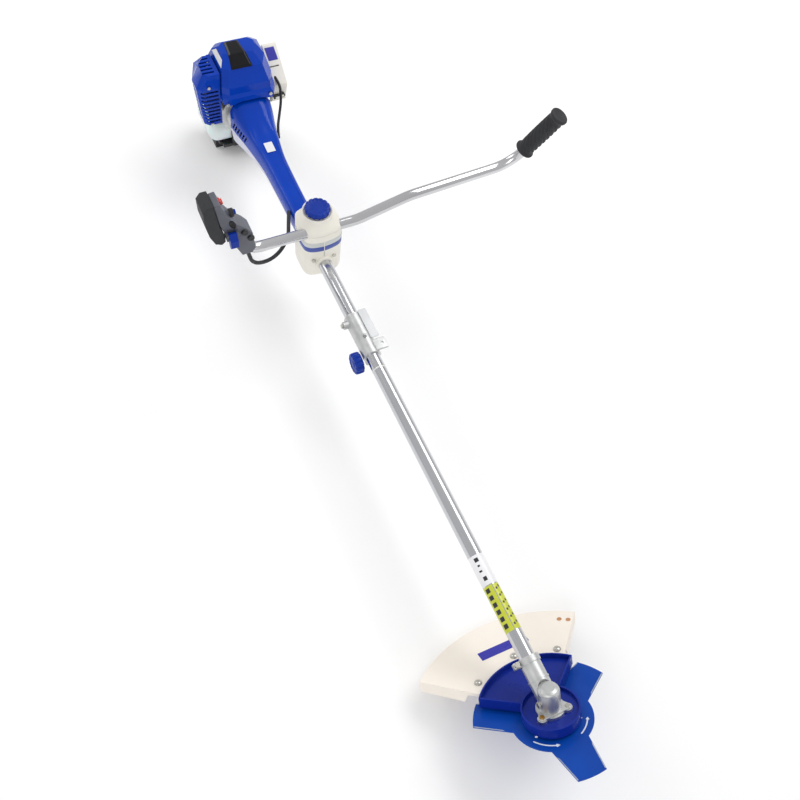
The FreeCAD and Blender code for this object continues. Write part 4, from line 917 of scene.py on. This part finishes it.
def make_neck():
    upper, lower = [], []
    for step in range(41):
        distance = NECK_FRONT + 353 * step / 40
        half, up, down = soft_neck_size(distance)
        slim = [(half, -5), (half + 0.2, 2), (half - 0.1, up * 0.45), (half - 1.2, up - 8.5),
                (half - 2.6, up - 4.6), (half - 4.6, up - 1.7), (half - 6.4, up - 0.9 + 0.6),
                (half - 7.6, up + 0.1), (half - 9.2, up - 0.9), (half * 0.42, up - 1.3),
                (half * 0.2, up - 0.7), (0, up - 0.5)]
        broad = round_section(half, up, min(30, half - 6))
        share = ease(distance, 1262, 1384)
        right = [(y + share * (b - y), z + share * (c - z))
                 for (y, z), (b, c) in zip(slim, broad)]
        upper.append(section_ring(distance, right))
        right = [(half - 0.6, -5.4), (half - 0.4, -10), (half - 1.4, -down * 0.5),
                 (half - 3.4, -down + 8), (half - 7, -down + 2.6), (half - 12, -down + 0.3),
                 (half * 0.3, -down), (0, -down)]
        lower.append(section_ring(distance, right))
    vents = [tool_box(at(near + 5, -64, 0), at(near, -28, 23), 0.5)
             for near in range(1318, 1378, 10)]
    for name, rings, material, node, cutters in (
            ("neck_upper_look", upper, "blue_gloss", "neck_shell_upper", vents),
            ("neck_lower_look", lower, "lilac_plastic", "neck_shell_lower", [])):
        shell = skin(name, rings, material, None, None, False, False, False)
        thicken(shell, 2.4)
        if cutters:
            carve(shell, cutters)
        smooth(shell, 32)
        dress(shell, "frame")
        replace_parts(shell, node)
    top = neck_size(1262)[1]
    patch("neck_label", [at(1250, -10, top - 0.6), at(1250, 9, top - 0.6),
                         at(1277, 9, top + 1.6), at(1277, -10, top + 1.6)], 0.3,
          "label_white", "blue_gloss", 1.5)


# ---------------------------------------------------------------- engine
def plan_ring(front, rear, right, left, z, nose, tail):
    """Level ring of a hood with cut corners; the nose's cut is longest on the left."""
    return [at(front, right + nose, z), at(front, left - nose - 2, z),
            at(front + 2.4 * nose, left, z), at(rear - tail, left, z), at(rear, left - tail, z),
            at(rear, right + tail, z), at(rear - tail, right, z),
            at(front + 0.9 * nose, right, z)]


def make_cover():
    sizes = [(1375, 1500, -60.4, 62.6, 64.2, 10, 8), (1374.4, 1500, -60.8, 63, 68, 10, 8),
             (1375, 1501, -60.6, 62.8, 80, 11, 9), (1379.6, 1502, -59.6, 61.4, 88, 13, 9),
             (1380.6, 1502.6, -58.8, 59.8, 104, 13, 10), (1389, 1496, -54.8, 55.6, 122, 14, 11),
             (1397, 1488, -51.4, 51.4, 138, 13, 12), (1414, 1476, -44, 42.4, 149, 12, 12),
             (1425, 1469.4, -38.6, 36.6, 153.7, 10, 10)]
    cover = skin("cylinder_cover_look", [plan_ring(*size) for size in sizes], "blue_gloss", None,
                 None, False, True)
    thicken(cover, 2.4)
    # the neck's arch and the two side openings
    arch = skin("Arch", [section_ring(distance, round_section(50.6, 69.8, 30))
                         for distance in (1366, 1388)], "blue_gloss", None)
    carve(cover, [tool_box(at(1492, -70, 46), at(1436, -50, 86)),
                  tool_box(at(1492, 50, 46), at(1436, 70, 86)), arch])
    bevel(cover, 2.4, 3, 12)
    dress(cover, "frame")
    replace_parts(cover, "cylinder_cover")


def make_plug_cover():
    """A dark raised panel with a steeper front facet; each row is distance, right, left, height."""
    under = [(1465.6, -26.6, 4.6, 151), (1440, -28.4, 6.6, 151), (1426, -30, 9, 150),
             (1399, -33, 14, 135.6)]
    outer = [(1465.6, -26.6, 4.6, 154.4), (1440, -28.4, 6.6, 155.2), (1422.6, -30, 9, 154.8),
             (1395.6, -33, 14, 139.4)]
    inner = [(1463, -22, 0.4, 157.2), (1440, -23.6, 2.2, 157.4), (1422, -25, 4.4, 157),
             (1398.4, -27.6, 9, 143.6)]
    levels = [[at(d, y, z) for d, y, _, z in line] + [at(d, y, z) for d, _, y, z in line[::-1]]
              for line in (under, outer, inner)]
    vertices, faces = rings_to_mesh(levels, False, False)
    for base in (0, 16):
        for number in range(3):
            faces.append((base + number, base + number + 1, base + 6 - number, base + 7 - number))
    panel = new_mesh("plug_cover_look", vertices, faces, "black_gloss", "frame", "navy_plastic")
    bevel(panel, 1.1, 3, 10)
    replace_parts(panel, "plug_cover")


def make_engine():
    make_cover()
    make_plug_cover()
    patch("heat_label", [at(1408, -51.9, 138.5), at(1421, -45.1, 148), at(1460, -45.1, 148),
                         at(1470, -51.9, 138.5)], 0.4, "label_silver", "blue_gloss", 1.0)
    refined("muffler_cover", 0.9)
    foot = refined("engine_foot", 1.0)
    carve(foot, [tool_box(at(1498, -64, -170), at(1440, -27, -120)),
                 tool_box(at(1498, 27, -170), at(1440, 64, -120))])
    refined("filter_cover", 1.2, 3, "bone_plastic")
    refined("filter_base", 0.6, 2, "bone_plastic")
    for node, width in (("crankcase", 0.6), ("starter_housing", 0.7), ("fuel_tank", 0.6),
                        ("fuel_cap", 0.6), ("starter_handle", 0.8), ("carburettor", 0.5),
                        ("choke_lever", 0.5), ("socket_screws", 0.3)):
        refined(node, width)
    refined("muffler", 0.6, 2, "muffler_dark")
    # painted shade: a dark sheet behind the muffler cover's front slots darkens their inside and
    # hides the parts lit behind them
    slot_shade = [[at(distance, y, z) for y, z in ((-91, 3), (-65, 3), (-65, 99), (-91, 99))]
             for distance in (1403, 1404.2)]
    skin("muffler_slot_shade_sheet", slot_shade, "muffler_dark", "frame", "zinc")
    patch("filter_label", [at(1453, 70, 92.8), at(1453, 92, 92.8), at(1476, 90, 110.2),
                           at(1476, 68, 110.2)], 0.25, "label_blue", "cream_plastic", 1.0)


def finish_cad_nodes():
    """Give the CAD nodes that stay in view their procedural finish."""
    for node, obj in NODES.items():
        for holder in obj.material_slots:
            holder.material = MAT[SLOT_OF[node]]


make_camera()
make_stage()
finish_cad_nodes()
make_blade()
make_gear_head()
make_guard()
make_shaft()
make_knobs()
make_clamp()
make_grip()
make_throttle()
make_cables()
make_neck()
make_engine()
